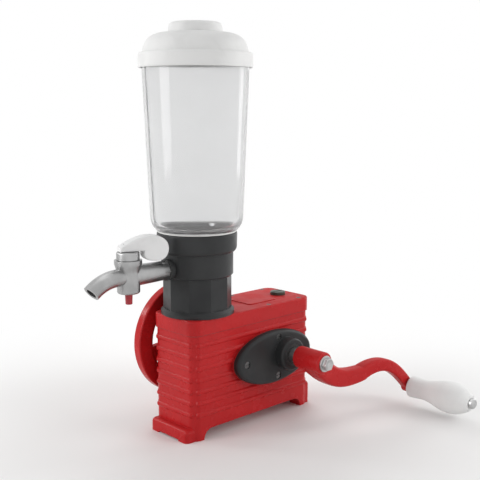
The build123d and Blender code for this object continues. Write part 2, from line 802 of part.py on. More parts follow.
with BuildPart() as tower_base:
    z_rod(tower_flange_radius, (tower_x, 0), cover_top, cover_top + tower_flange_height)
    chamfer(tower_base.faces().sort_by(Axis.Z)[-1].edges(), tower_flange_chamfer)
    with BuildSketch(Plane.XY.offset(cover_top)):
        with Locations((tower_x, 0)):
            RegularPolygon(tower_radius, tower_facets)
    extrude(amount=tower_height)
    z_rod(tower_bore_radius, (tower_x, 0), cover_top + tower_floor, tower_top, mode=Mode.SUBTRACT)
    z_rod(tower_eye_radius, (tower_x, 0), cover_top, tower_top, mode=Mode.SUBTRACT)
    z_rod(
        spigot_radius + loose_clearance,
        (tower_x, 0),
        tower_top - spigot_depth - loose_clearance,
        tower_top,
        mode=Mode.SUBTRACT,
    )
    screw_seat = cover_top + tower_floor
    for place in tower_screw_places:
        z_rod(tower_screw_radius, place, cover_top, screw_seat, mode=Mode.SUBTRACT)
    for place in locating_pin_places:
        z_rod(locating_pin_radius, place, tower_top - locating_pin_root, tower_top, mode=Mode.SUBTRACT)
write_piece(tower_base, "tower_base")

with BuildPart() as tower_screws:
    tower_slot_length = slot_overrun * tower_screw_head_radius
    for place in tower_screw_places:
        z_rod(tower_screw_radius, place, cover_top - tower_screw_depth, screw_seat)
        z_rod(tower_screw_head_radius, place, screw_seat, screw_seat + tower_screw_head_height)
        with Locations((*place, screw_seat + tower_screw_head_height)):
            Box(tower_slot_length, screw_slot_width, screw_slot_depth, mode=Mode.SUBTRACT)
write_piece(tower_screws, "tower_screws")

with BuildPart() as locating_pins:
    for place in locating_pin_places:
        z_rod(locating_pin_radius, place, tower_top - locating_pin_root, tower_top + locating_pin_rise)
write_piece(locating_pins, "locating_pins")

# Crank: shaft, gear, arm, washer, nut and handle pin

crank_hub_inner = -flange_boss_face - crank_hub_standoff
crank_hub_outer = crank_hub_inner - crank_hub_length
crank_washer_face = crank_hub_outer - crank_washer_thickness
crank_nut_face = crank_washer_face - crank_nut_height

with BuildPart() as crank_shaft:
    y_rod(crank_shaft_radius, crank_axis, blind_end - shaft_end_gap, crank_hub_inner)
    with Locations((crank_axis[0], (crank_hub_inner + crank_hub_outer) / 2, crank_axis[1])):
        Box(crank_square, crank_hub_length, crank_square)
    y_rod(crank_thread_radius, crank_axis, crank_hub_outer, crank_nut_face - shaft_end_gap)
write_piece(crank_shaft, "crank_shaft")

with BuildPart() as crank_gear:
    with BuildSketch(Plane.XZ.offset(-first_pair_far)):
        with Locations(crank_axis):
            Polygon(*spur_outline(crank_gear_teeth, crank_gear_tooth), align=None)
            with PolarLocations((crank_gear_tip + crank_gear_hub_radius) / 2, lightening_hole_count):
                Circle(crank_gear_hole_radius, mode=Mode.SUBTRACT)
    extrude(amount=first_pair_width)
    y_rod(crank_gear_hub_radius, crank_axis, first_pair_near - crank_gear_hub_length, first_pair_far)
    y_rod(crank_shaft_radius, crank_axis, -outer_half_width, 0, mode=Mode.SUBTRACT)
write_piece(crank_gear, "crank_gear")

arm_along = (cos(radians(crank_drop)), -sin(radians(crank_drop)))
arm_across = (sin(radians(crank_drop)), cos(radians(crank_drop)))
handle_axis = (
    crank_axis[0] + crank_radius * arm_along[0],
    crank_axis[1] + crank_radius * arm_along[1],
)
arm_root_y = (crank_hub_inner + crank_hub_outer) / 2
arm_tip_y = arm_root_y - arm_dogleg


def arm_point(share):
    """Point on the crank arm's centre line, from the hub at 0 to the handle pin at 1.

    The line dips below the straight run, crosses it and rises to a crest, each a half sine wave,
    the crest leaning towards the handle, while it leads outwards by the dogleg.
    """
    if share < arm_crossing:
        offset = -arm_dip * sin(pi * share / arm_crossing)
    else:
        rise = (share - arm_crossing) / (1 - arm_crossing)
        offset = arm_crest * sin(pi * rise**arm_crest_lean)
    run = share * crank_radius
    return Vector(
        crank_axis[0] + run * arm_along[0] + offset * arm_across[0],
        arm_root_y - arm_dogleg * share,
        crank_axis[1] + run * arm_along[1] + offset * arm_across[1],
    )


with BuildPart() as crank_arm:
    for station in range(arm_stations):
        share = arm_start_share + (arm_end_share - arm_start_share) * station / (arm_stations - 1)
        ahead, behind = arm_point(share + arm_heading_step), arm_point(share - arm_heading_step)
        heading = (ahead - behind).normalized()
        across = heading.cross(Vector(0, 1, 0)).normalized()
        width = arm_tip_width + (arm_root_width - arm_tip_width) * exp(-((share / arm_taper_share) ** 2))
        thickness = arm_root_thickness + (arm_tip_thickness - arm_root_thickness) * share
        with BuildSketch(Plane(arm_point(share), x_dir=across, z_dir=heading)):
            RectangleRounded(width, thickness, arm_edge_rounding * min(width, thickness))
    loft()
    y_rod(crank_hub_radius, crank_axis, crank_hub_inner, crank_hub_outer)
    y_rod(
        arm_boss_radius, handle_axis, arm_tip_y + arm_tip_thickness / 2, arm_tip_y - arm_tip_thickness / 2
    )
    with Locations((crank_axis[0], (crank_hub_inner + crank_hub_outer) / 2, crank_axis[1])):
        Box(crank_square, 2 * crank_hub_length, crank_square, mode=Mode.SUBTRACT)
    y_rod(handle_pin_radius, handle_axis, arm_root_y, 2 * arm_tip_y, mode=Mode.SUBTRACT)
write_piece(crank_arm, "crank_arm")

with BuildPart() as crank_washer:
    y_rod(crank_washer_radius, crank_axis, crank_hub_outer, crank_washer_face)
    y_rod(crank_thread_radius, crank_axis, crank_hub_outer, crank_washer_face, mode=Mode.SUBTRACT)
write_piece(crank_washer, "crank_washer")

with BuildPart() as crank_nut:
    with BuildSketch(Plane.XZ.offset(-crank_washer_face)):
        with Locations(crank_axis):
            RegularPolygon(crank_nut_flats / 2, 6, major_radius=False)
            Circle(crank_thread_radius, mode=Mode.SUBTRACT)
    extrude(amount=crank_nut_height)
write_piece(crank_nut, "crank_nut")

grip_start = arm_tip_y - arm_tip_thickness / 2 - seat_gap
grip_end = grip_start - grip_length
pin_head_start = grip_end - seat_gap

with BuildPart() as handle_pin:
    y_rod(handle_pin_radius, handle_axis, arm_tip_y + arm_tip_thickness / 2, pin_head_start)
    y_rod(pin_head_radius, handle_axis, pin_head_start, pin_head_start - pin_head_length)
    fillet(handle_pin.faces().sort_by(Axis.Y)[0].edges(), pin_head_length / 2)
write_piece(handle_pin, "handle_pin")

with BuildPart() as crank_grip:
    with BuildSketch(Plane((handle_axis[0], grip_start, handle_axis[1]), x_dir=(1, 0, 0), z_dir=(0, 0, 1))):
        with BuildLine():
            collar = Line((grip_collar_radius, 0), (grip_collar_radius, -grip_collar_share * grip_length))
            side = Spline(
                collar @ 1,
                (grip_neck_radius, -grip_neck_share * grip_length),
                (grip_belly_radius, -grip_belly_share * grip_length),
                (grip_end_radius, -grip_length),
                tangents=((-0.3, -1), (-1, -0.35)),
            )
            end_face = Line(side @ 1, (handle_pin_radius + running_clearance, -grip_length))
            bore = Line(end_face @ 1, (handle_pin_radius + running_clearance, 0))
            Line(bore @ 1, collar @ 0)
        make_face()
    revolve(axis=Axis((handle_axis[0], 0, handle_axis[1]), (0, 1, 0)))
write_piece(crank_grip, "crank_grip")

# Idler shaft

countershaft_near = shaft_end_gap - blind_end
countershaft_far = pad_face - bore_plug_length - shaft_end_gap

with BuildPart() as idler_shaft:
    y_rod(idler_shaft_radius, idler_axis, countershaft_near, countershaft_far)
write_piece(idler_shaft, "idler_shaft")

with BuildPart() as idler_pinion:
    with BuildSketch(Plane.XZ.offset(-first_pair_far)):
        with Locations(idler_axis):
            Polygon(*spur_outline(idler_pinion_teeth, idler_pinion_tooth), align=None)
            Circle(idler_shaft_radius, mode=Mode.SUBTRACT)
    extrude(amount=first_pair_width)
write_piece(idler_pinion, "idler_pinion")

idler_gear_root = spur_module * (idler_gear_teeth / 2 - dedendum)

with BuildPart() as idler_gear:
    with BuildSketch(Plane.XZ.offset(-second_pair_far)):
        with Locations(idler_axis):
            Polygon(*spur_outline(idler_gear_teeth, idler_gear_tooth), align=None)
            Circle(idler_shaft_radius, mode=Mode.SUBTRACT)
            with PolarLocations((idler_gear_root + idler_shaft_radius) / 2, lightening_hole_count):
                Circle(idler_gear_hole_radius, mode=Mode.SUBTRACT)
    extrude(amount=second_pair_width)
write_piece(idler_gear, "idler_gear")

# Flywheel and its shaft

flywheel_hub_near = pad_face + flywheel_standoff
flywheel_hub_far = flywheel_hub_near + flywheel_hub_length
flywheel_nut_far = flywheel_hub_far + flywheel_nut_height
flywheel_mid = flywheel_hub_near + flywheel_hub_length / 2

with BuildPart() as flywheel_shaft:
    y_rod(flywheel_shaft_radius, flywheel_axis, -blind_end + shaft_end_gap, flywheel_hub_near)
    y_rod(flywheel_seat_radius, flywheel_axis, flywheel_hub_near, flywheel_hub_far)
    y_rod(flywheel_thread_radius, flywheel_axis, flywheel_hub_far, flywheel_nut_far + shaft_end_gap)
write_piece(flywheel_shaft, "flywheel_shaft")

with BuildPart() as flywheel_pinion:
    with BuildSketch(Plane.XZ.offset(-second_pair_far)):
        with Locations(flywheel_axis):
            Polygon(*spur_outline(flywheel_pinion_teeth, flywheel_pinion_tooth), align=None)
            Circle(flywheel_shaft_radius, mode=Mode.SUBTRACT)
    extrude(amount=second_pair_width)
write_piece(flywheel_pinion, "flywheel_pinion")

with BuildPart() as flywheel_gear:
    with BuildSketch(Plane.XZ.offset(-third_pair_far)):
        with Locations(flywheel_axis):
            Polygon(*spur_outline(flywheel_gear_teeth, flywheel_gear_tooth), align=None)
            Circle(flywheel_shaft_radius, mode=Mode.SUBTRACT)
    extrude(amount=third_pair_width)
write_piece(flywheel_gear, "flywheel_gear")

with BuildPart() as flywheel:
    rim_half = flywheel_rim_width / 2
    web_half = flywheel_web_width / 2
    y_rod(flywheel_radius, flywheel_axis, flywheel_mid - rim_half, flywheel_mid + rim_half)
    fillet(flywheel.edges().filter_by(GeomType.CIRCLE), flywheel_edge_rounding)
    for side in (-1, 1):
        y_rod(
            flywheel_radius - flywheel_rim_depth,
            flywheel_axis,
            flywheel_mid + side * web_half,
            flywheel_mid + side * flywheel_rim_width,
            mode=Mode.SUBTRACT,
        )
    with Locations((flywheel_axis[0], flywheel_mid, flywheel_axis[1])):
        for window in range(flywheel_window_count):
            window_start = flywheel_window_turn + 360 * window / flywheel_window_count
            Cylinder(
                flywheel_window_outer,
                flywheel_hub_length,
                arc_size=flywheel_window_sweep,
                align=wedge_align,
                rotation=(90, 0, window_start - flywheel_window_sweep / 2),
                mode=Mode.SUBTRACT,
            )
    y_rod(flywheel_window_inner, flywheel_axis, flywheel_mid - web_half, flywheel_mid + web_half)
    y_rod(flywheel_hub_radius, flywheel_axis, flywheel_hub_near, flywheel_hub_far)
    y_rod(flywheel_seat_radius, flywheel_axis, flywheel_hub_near, flywheel_hub_far, mode=Mode.SUBTRACT)
write_piece(flywheel, "flywheel")

with BuildPart() as flywheel_nut:
    with BuildSketch(Plane.XZ.offset(-flywheel_nut_far)):
        with Locations(flywheel_axis):
            RegularPolygon(flywheel_nut_flats / 2, 6, major_radius=False)
            Circle(flywheel_thread_radius, mode=Mode.SUBTRACT)
    extrude(amount=flywheel_nut_height)
write_piece(flywheel_nut, "flywheel_nut")

# Layshaft with the bevel gear

with BuildPart() as layshaft:
    y_rod(idler_shaft_radius, layshaft_axis, countershaft_near, countershaft_far)
write_piece(layshaft, "layshaft")

with BuildPart() as layshaft_pinion:
    with BuildSketch(Plane.XZ.offset(-third_pair_far)):
        with Locations(layshaft_axis):
            Polygon(*spur_outline(layshaft_pinion_teeth, layshaft_pinion_tooth), align=None)
            Circle(idler_shaft_radius, mode=Mode.SUBTRACT)
    extrude(amount=third_pair_width)
write_piece(layshaft_pinion, "layshaft_pinion")

with BuildPart() as bevel_gear:
    for share in (bevel_inner_share, 1):
        with BuildSketch(Plane.XZ.offset(-share * bevel_gear_plane)):
            with Locations(layshaft_axis):
                teeth_line = bevel_outline(bevel_gear_teeth, bevel_pinion_teeth, share, bevel_gear_tooth)
                Polygon(*teeth_line, align=None)
    loft(ruled=True)
    y_rod(bevel_hub_radius, layshaft_axis, bevel_gear_plane, third_pair_near)
    y_rod(idler_shaft_radius, layshaft_axis, 0, third_pair_far, mode=Mode.SUBTRACT)
write_piece(bevel_gear, "bevel_gear")

# Upright spindle with its bevel pinion and the driving half of the dog clutch

bevel_pinion_bottom = layshaft_axis[1] + bevel_inner_share * bevel_pinion_plane
bevel_pinion_top = layshaft_axis[1] + bevel_pinion_plane + bevel_pinion_hub_length
drive_dog_bottom = cover_top + dog_above_cover
drive_dog_face = drive_dog_bottom + dog_plate
driven_dog_face = drive_dog_face + dog_lug_height + gear_side_gap
driven_dog_top = driven_dog_face + dog_plate


def dog_lugs(z_from, z_to, turn):
    """Lugs of a dog clutch half on the tower's axis, in the part that is open."""
    for lug in range(dog_lug_count):
        with Locations((tower_x, 0, (z_from + z_to) / 2)):
            Cylinder(
                dog_radius,
                abs(z_to - z_from),
                arc_size=dog_lug_sweep,
                align=wedge_align,
                rotation=(0, 0, turn + 360 * lug / dog_lug_count - dog_lug_sweep / 2),
            )
    z_rod(spindle_radius + dog_bore_wall, (tower_x, 0), z_from, z_to, mode=Mode.SUBTRACT)


with BuildPart() as spindle:
    z_rod(spindle_radius, (tower_x, 0), bevel_pinion_bottom, drive_dog_face)
write_piece(spindle, "spindle")

with BuildPart() as bevel_pinion:
    for share in (bevel_inner_share, 1):
        with BuildSketch(Plane.XY.offset(layshaft_axis[1] + share * bevel_pinion_plane)):
            with Locations((tower_x, 0)):
                teeth_line = bevel_outline(bevel_pinion_teeth, bevel_gear_teeth, share, bevel_pinion_tooth)
                Polygon(*teeth_line, align=None)
    loft(ruled=True)
    z_rod(bevel_pinion_hub_radius, (tower_x, 0), layshaft_axis[1] + bevel_pinion_plane, bevel_pinion_top)
    z_rod(spindle_radius, (tower_x, 0), bevel_pinion_bottom, bevel_pinion_top, mode=Mode.SUBTRACT)
write_piece(bevel_pinion, "bevel_pinion")

with BuildPart() as drive_dog:
    dog_lugs(drive_dog_face, drive_dog_face + dog_lug_height, 0)
    z_rod(dog_radius, (tower_x, 0), drive_dog_bottom, drive_dog_face)
    z_rod(spindle_radius, (tower_x, 0), drive_dog_bottom, drive_dog_face, mode=Mode.SUBTRACT)
write_piece(drive_dog, "drive_dog")

# Chamber that holds the blade, with the jar collar, gasket and jar

chamber_inner_floor = tower_top + chamber_floor
blade_boss_bottom = tower_top - blade_boss_drop
collar_step = chamber_top + collar_lap
chamber_socket_radius = chamber_bore_radius + chamber_socket_wall
blade_bush_radius = blade_shaft_radius + blade_bush_wall
blade_seal_top = chamber_inner_floor + blade_seal_height / 2
blade_seal_bottom = blade_seal_top - blade_seal_height

with BuildPart() as juice_chamber:
    z_rod(chamber_radius, (tower_x, 0), tower_top, chamber_top)
    chamfer(juice_chamber.faces().sort_by(Axis.Z)[0].edges(), chamber_chamfer)
    z_rod(chamber_socket_radius, (tower_x, 0), tower_top, collar_step)
    x_rod(tap_boss_radius, (0, tap_z), tap_boss_x, tower_x - tower_radius - gear_side_gap)
    z_rod(chamber_bore_radius, (tower_x, 0), chamber_inner_floor, collar_step, mode=Mode.SUBTRACT)
    z_rod(spigot_radius, (tower_x, 0), tower_top - spigot_depth, tower_top)
    z_rod(
        spigot_radius - spigot_wall, (tower_x, 0), tower_top - spigot_depth, tower_top, mode=Mode.SUBTRACT
    )
    z_rod(blade_boss_radius, (tower_x, 0), blade_boss_bottom, chamber_inner_floor)
    z_rod(blade_bush_radius, (tower_x, 0), blade_boss_bottom, chamber_inner_floor, mode=Mode.SUBTRACT)
    x_rod(tap_tail_radius, (0, tap_z), tap_boss_x, tower_x - spigot_radius, mode=Mode.SUBTRACT)
    for place in locating_pin_places:
        z_rod(
            locating_pin_radius + loose_clearance,
            place,
            tower_top,
            tower_top + locating_pin_rise + loose_clearance,
            mode=Mode.SUBTRACT,
        )
write_piece(juice_chamber, "juice_chamber")

with BuildPart() as jar_collar:
    z_rod(collar_radius, (tower_x, 0), chamber_top, collar_top)
    chamfer(jar_collar.faces().sort_by(Axis.Z)[0].edges(), collar_chamfer)
    z_rod(chamber_socket_radius, (tower_x, 0), chamber_top, collar_step, mode=Mode.SUBTRACT)
    z_rod(jar_neck_radius, (tower_x, 0), collar_step, collar_top, mode=Mode.SUBTRACT)
write_piece(jar_collar, "jar_collar")

with BuildPart() as jar_gasket:
    z_rod(jar_neck_radius + jar_gasket_width, (tower_x, 0), collar_top, jar_seat)
    z_rod(jar_neck_radius, (tower_x, 0), collar_top, jar_seat, mode=Mode.SUBTRACT)
write_piece(jar_gasket, "jar_gasket")

jar_belly = jar_seat + jar_belly_rise

with BuildPart() as jar:
    with BuildSketch(tower_plane):
        with BuildLine():
            neck = Polyline(
                (jar_neck_radius - jar_wall, collar_step + seat_gap),
                (jar_neck_radius, collar_step + seat_gap),
                (jar_neck_radius, jar_seat),
                (jar_shoulder_radius, jar_seat),
            )
            shoulder = Spline(
                neck @ 1,
                (jar_belly_radius, jar_belly),
                tangents=((1, 1.2), (jar_rim_radius - jar_belly_radius, jar_height - jar_belly_rise)),
            )
            rim = Polyline(
                shoulder @ 1,
                (jar_rim_radius, jar_rim),
                (jar_rim_radius - jar_wall, jar_rim),
                (jar_belly_radius - jar_wall, jar_belly),
            )
            inner_shoulder = Spline(
                rim @ 1,
                (jar_neck_radius, jar_seat + jar_wall),
                (jar_neck_radius - jar_wall, jar_seat),
                tangents=((jar_belly_radius - jar_rim_radius, jar_belly_rise - jar_height), (0, -1)),
            )
            Line(inner_shoulder @ 1, neck @ 0)
        make_face()
    revolve(axis=tower_line)
write_piece(jar, "jar")

# Blade and its shaft

blade_seat = blade_seal_top + seat_gap + blade_collar_height
blade_nut_top = blade_seat + blade_thickness + blade_nut_height

with BuildPart() as blade_bush:
    upright_bush(blade_shaft_radius, blade_bush_wall, blade_boss_bottom, blade_seal_bottom)
write_piece(blade_bush, "blade_bush")

with BuildPart() as blade_seal:
    upright_bush(blade_shaft_radius, blade_bush_wall, blade_seal_bottom, blade_seal_top)
write_piece(blade_seal, "blade_seal")

with BuildPart() as blade_shaft:
    z_rod(blade_shaft_radius, (tower_x, 0), driven_dog_face, blade_seat)
    z_rod(blade_collar_radius, (tower_x, 0), blade_seat - blade_collar_height, blade_seat)
    z_rod(blade_thread_radius, (tower_x, 0), blade_seat, blade_nut_top + shaft_end_gap)
write_piece(blade_shaft, "blade_shaft")

with BuildPart() as driven_dog:
    dog_lugs(driven_dog_face - dog_lug_height, driven_dog_face, 180 / dog_lug_count)
    z_rod(dog_radius, (tower_x, 0), driven_dog_face, driven_dog_top)
    z_rod(blade_shaft_radius, (tower_x, 0), driven_dog_face, driven_dog_top, mode=Mode.SUBTRACT)
write_piece(driven_dog, "driven_dog")

blade_bend = radians(blade_lift)
blade_wing = blade_reach - blade_bend_radius
blade_mid = blade_seat + blade_thickness / 2

with BuildPart() as blade:
    with Locations((tower_x, 0, blade_mid)):
        Box(2 * blade_reach, blade_width, blade_thickness)
    for side in (-1, 1):
        wing_y = side * (blade_bend_radius + blade_wing / 2 * cos(blade_bend))
        with Locations((tower_x, wing_y, blade_mid + blade_wing / 2 * sin(blade_bend))):
            Box(blade_width, blade_wing, blade_thickness, rotation=(side * blade_lift, 0, 0))
    z_rod(blade_hub_radius, (tower_x, 0), blade_seat, blade_seat + blade_thickness)
    z_rod(blade_thread_radius, (tower_x, 0), blade_seat, blade_nut_top, mode=Mode.SUBTRACT)
write_piece(blade, "blade")

with BuildPart() as blade_nut:
    with BuildSketch(Plane.XY.offset(blade_seat + blade_thickness)):
        with Locations((tower_x, 0)):
            RegularPolygon(blade_nut_flats / 2, 6, major_radius=False)
            Circle(blade_thread_radius, mode=Mode.SUBTRACT)
    extrude(amount=blade_nut_height)
write_piece(blade_nut, "blade_nut")

# Tap: washer, body with barrel and spout, cap, plug, lever and tip

tap_hex_x = tap_boss_x - tap_washer_thickness
cock_place = (cock_x, 0)
cock_bore_bottom = cock_bottom + cock_floor
cock_cap_top = cock_top + cock_cap_height

with BuildPart() as tap_washer:
    x_rod(tap_boss_radius, (0, tap_z), tap_boss_x, tap_hex_x)
    x_rod(tap_tail_radius, (0, tap_z), tap_boss_x, tap_hex_x, mode=Mode.SUBTRACT)
write_piece(tap_washer, "tap_washer")

with BuildPart() as tap_body:
    z_rod(cock_radius, cock_place, cock_bottom, cock_top)
    fillet(tap_body.faces().sort_by(Axis.Z)[0].edges(), cock_edge_rounding)
    z_rod(cock_flare_radius, cock_place, cock_top - cock_flare_rim, cock_top)
    with Locations((*cock_place, cock_top - cock_flare_rim - cock_flare_height / 2)):
        Cone(cock_radius, cock_flare_radius, cock_flare_height)
    x_rod(tap_tail_radius, (0, tap_z), tower_x - chamber_bore_radius, tap_hex_x)
    with Locations(((tap_hex_x + cock_x) / 2, 0, tap_z)):
        Cone(
            tap_pipe_radius,
            tap_pipe_radius - tap_pipe_taper,
            tap_hex_x - cock_x,
            rotation=(0, 90, 0),
        )
    with BuildSketch(Plane((tap_hex_x, 0, tap_z), x_dir=(0, 1, 0), z_dir=(-1, 0, 0))):
        RegularPolygon(tap_hex_flats / 2, 6, major_radius=False)
    extrude(amount=tap_hex_length)
    for radius, mode in ((spout_radius, Mode.ADD), (tap_bore_radius, Mode.SUBTRACT)):
        with BuildLine(Plane.XZ):
            run = Line((cock_x, tap_z), (cock_x - spout_start, tap_z))
            JernArc(run @ 1, (-1, 0), spout_bend, spout_turn)
        with BuildSketch(Plane((cock_x, 0, tap_z), x_dir=(0, 1, 0), z_dir=(-1, 0, 0))):
            Circle(radius)
        sweep(mode=mode)
    x_rod(tap_bore_radius, (0, tap_z), tower_x, cock_x, mode=Mode.SUBTRACT)
    z_rod(cock_plug_radius, cock_place, cock_bore_bottom, cock_top, mode=Mode.SUBTRACT)
    z_rod(cock_tail_radius + running_clearance, cock_place, cock_bottom, cock_top, mode=Mode.SUBTRACT)
write_piece(tap_body, "tap_body")

with BuildPart() as tap_cap:
    z_rod(cock_cap_radius, cock_place, cock_top, cock_cap_top)
    fillet(tap_cap.faces().sort_by(Axis.Z)[-1].edges(), cock_cap_rounding)
    z_rod(cock_stem_radius + running_clearance, cock_place, cock_top, cock_cap_top, mode=Mode.SUBTRACT)
write_piece(tap_cap, "tap_cap")

lever_bottom = cock_cap_top + seat_gap
lever_socket_top = lever_bottom + lever_height / 2
tip_top = cock_bottom - seat_gap
lever_heading = (cos(radians(lever_turn)), sin(radians(lever_turn)), 0)
lever_side = (sin(radians(lever_turn)), -cos(radians(lever_turn)), 0)
lever_plane = Plane((cock_x, 0, lever_bottom), x_dir=lever_heading, z_dir=lever_side)

with BuildPart() as tap_plug:
    z_rod(cock_plug_radius - running_clearance, cock_place, cock_bore_bottom + seat_gap, cock_top - seat_gap)
    z_rod(cock_stem_radius, cock_place, cock_top - seat_gap, lever_socket_top)
    z_rod(cock_tail_radius, cock_place, tip_top - tip_length / 2, cock_bore_bottom + seat_gap)
    x_rod(tap_bore_radius, (0, tap_z), cock_x - cock_radius, cock_x + cock_radius, mode=Mode.SUBTRACT)
write_piece(tap_plug, "tap_plug")

with BuildPart() as tap_lever:
    with BuildSketch(lever_plane):
        with BuildLine():
            hook = Spline(
                (-lever_heel, lever_heel_rise * lever_height),
                *[(along * lever_reach, up * lever_height) for along, up in lever_back],
                *[(along * lever_reach, -down * lever_drop) for along, down in lever_belly],
            )
            Polyline(hook @ 1, (-lever_heel, 0), hook @ 0)
        make_face()
    extrude(amount=lever_width / 2, both=True)
    fillet(tap_lever.faces().filter_by(lever_plane).edges(), lever_rounding)
    z_rod(cock_stem_radius, cock_place, lever_bottom, lever_socket_top, mode=Mode.SUBTRACT)
write_piece(tap_lever, "tap_lever")

with BuildPart() as tap_tip:
    with Locations((*cock_place, tip_top - tip_length / 2)):
        Cone(tip_radius - tip_taper, tip_radius, tip_length)
    fillet(tap_tip.faces().sort_by(Axis.Z)[0].edges(), tip_taper)
    z_rod(cock_tail_radius, cock_place, tip_top - tip_length / 2, tip_top, mode=Mode.SUBTRACT)
write_piece(tap_tip, "tap_tip")

# Lid, lid seal and filler cap

lid_skirt_bottom = jar_rim - lid_lap
dome_side_top = lid_band_top + dome_side_height
lid_skirt_inner = lid_radius - lid_wall
dome_inner_radius = dome_radius - dome_draft - lid_wall

with BuildPart() as lid:
    with BuildSketch(tower_plane):
        with BuildLine():
            skirt = Polyline(
                (lid_skirt_inner, lid_underside),
                (lid_skirt_inner, lid_skirt_bottom),
                (lid_radius, lid_skirt_bottom),
                (lid_radius, lid_band_top - lid_band_rounding),
            )
            band = Spline(
                skirt @ 1,
                (dome_radius, lid_band_top),
                tangents=((0, 1), (-1, 0)),
            )
            dome_side = Line(band @ 1, (dome_radius - dome_draft, dome_side_top))
            crown = Spline(
                dome_side @ 1,
                (dome_top_radius, lid_top),
                tangents=((0, 1), (-1, 0)),
            )
            throat = Polyline(
                crown @ 1,
                (filler_radius, lid_top),
                (filler_radius, lid_top - filler_collar_depth),
                (filler_radius + lid_wall, lid_top - filler_collar_depth),
                (filler_radius + lid_wall, lid_top - lid_wall),
                (dome_top_radius, lid_top - lid_wall),
            )
            inner_crown = Spline(
                throat @ 1,
                (dome_inner_radius, dome_side_top - lid_wall),
                tangents=((1, 0), (0, -1)),
            )
            Polyline(
                inner_crown @ 1,
                (dome_inner_radius, lid_underside + lid_wall),
                (lid_plug_radius - lid_wall, lid_underside),
                (lid_plug_radius - lid_wall, jar_rim - lid_plug_depth),
                (lid_plug_radius, jar_rim - lid_plug_depth),
                (lid_plug_radius, lid_underside),
                skirt @ 0,
            )
        make_face()
    revolve(axis=tower_line)
    skirt_edge = lid.edges().group_by(Axis.Z)[0].sort_by(SortBy.RADIUS)[-1]
    fillet(skirt_edge, lid_skirt_rounding)
write_piece(lid, "lid")

with BuildPart() as lid_seal:
    z_rod(lid_skirt_inner, (tower_x, 0), jar_rim, lid_underside)
    z_rod(lid_plug_radius, (tower_x, 0), jar_rim, lid_underside, mode=Mode.SUBTRACT)
write_piece(lid_seal, "lid_seal")

with BuildPart() as lid_cap:
    z_rod(cap_radius, (tower_x, 0), lid_top, lid_top + cap_height)
    fillet(lid_cap.faces().sort_by(Axis.Z)[-1].edges(), cap_rounding)
    z_rod(filler_radius - loose_clearance, (tower_x, 0), lid_top - cap_plug_depth, lid_top)
    z_rod(
        filler_radius - loose_clearance - cap_wall,
        (tower_x, 0),
        lid_top - cap_plug_depth,
        lid_top + cap_height - cap_wall,
        mode=Mode.SUBTRACT,
    )
write_piece(lid_cap, "lid_cap")
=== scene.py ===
"""Looks of a hand-cranked juicer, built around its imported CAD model, in metres.

+Z is up, +X runs from the tap end of the gearbox to its crank end, and the crank is on the -Y side.
Turned and swept pieces are grids worked out with numpy, and stand for their CAD nodes. The other
nodes show a merged copy of their CAD mesh with its hard edges broken.
"""

import json
from math import cos, pi, radians, sin

import bmesh
import bpy
import numpy as np
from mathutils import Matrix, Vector


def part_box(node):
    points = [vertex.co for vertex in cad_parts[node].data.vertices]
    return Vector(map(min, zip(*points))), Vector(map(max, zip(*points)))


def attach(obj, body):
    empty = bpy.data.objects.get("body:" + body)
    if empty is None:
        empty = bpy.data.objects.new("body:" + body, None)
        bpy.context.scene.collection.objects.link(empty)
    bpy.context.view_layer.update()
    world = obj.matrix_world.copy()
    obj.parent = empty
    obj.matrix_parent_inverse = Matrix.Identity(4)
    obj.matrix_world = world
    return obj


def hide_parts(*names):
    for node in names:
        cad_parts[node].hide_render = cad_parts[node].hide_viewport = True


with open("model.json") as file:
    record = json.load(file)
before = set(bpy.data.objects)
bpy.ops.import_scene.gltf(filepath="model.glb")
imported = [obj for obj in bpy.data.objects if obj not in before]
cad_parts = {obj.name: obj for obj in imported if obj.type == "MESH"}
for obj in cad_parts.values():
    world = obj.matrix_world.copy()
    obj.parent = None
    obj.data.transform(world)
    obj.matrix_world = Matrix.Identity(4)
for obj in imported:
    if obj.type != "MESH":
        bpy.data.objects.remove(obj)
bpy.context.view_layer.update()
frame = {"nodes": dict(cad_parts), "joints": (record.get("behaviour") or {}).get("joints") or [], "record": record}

# Where the shafts and pivots are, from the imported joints
pivots = {joint["name"]: np.array(joint.get("pos_m", (0, 0, 0))) for joint in frame["joints"]}
bodies = frame["record"]["behaviour"]["bodies"]
body_of_node = {cad_node: body for body, cad_nodes in bodies.items() for cad_node in cad_nodes}
slot_of_node = {part["node"]: part["material_slot"] for part in frame["record"]["subparts"]}
tower_axis = pivots["blade_spin"]
crank_axis = pivots["crank_spin"]
grip_axis = pivots["grip_spin"]
MM = 0.001

# Shared sizes: the jar's spigot, which the collar and the gasket fit round, and the usual soft edge
spigot_radius = 42.5 * MM
plain_edge = 0.4 * MM
plain_sharp = 35.0


def low(cad_node, axis):
    """Lowest place of a CAD node along an axis, 0 for X, 1 for Y and 2 for Z."""
    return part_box(cad_node)[0][axis]


def high(cad_node, axis):
    """Highest place of a CAD node along an axis."""
    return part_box(cad_node)[1][axis]


# Node wiring


def node(tree, kind, settings=None, **values):
    """Add a shader node, set its properties, and set or link its input sockets by name."""
    made = tree.nodes.new(kind)
    for name, value in (settings or {}).items():
        setattr(made, name, value)
    for name, value in values.items():
        feed(tree, made, name, value)
    return made


def feed(tree, made, key, value):
    """Link an output to an input, found by its name or number, or set the input's own value."""
    socket = made.inputs[key]
    if isinstance(value, bpy.types.NodeSocket):
        tree.links.new(value, socket)
    else:
        socket.default_value = value


def calc(tree, operation, first, second):
    """Output of a math node with two inputs."""
    made = node(tree, "ShaderNodeMath", {"operation": operation})
    feed(tree, made, 0, first)
    feed(tree, made, 1, second)
    return made.outputs[0]


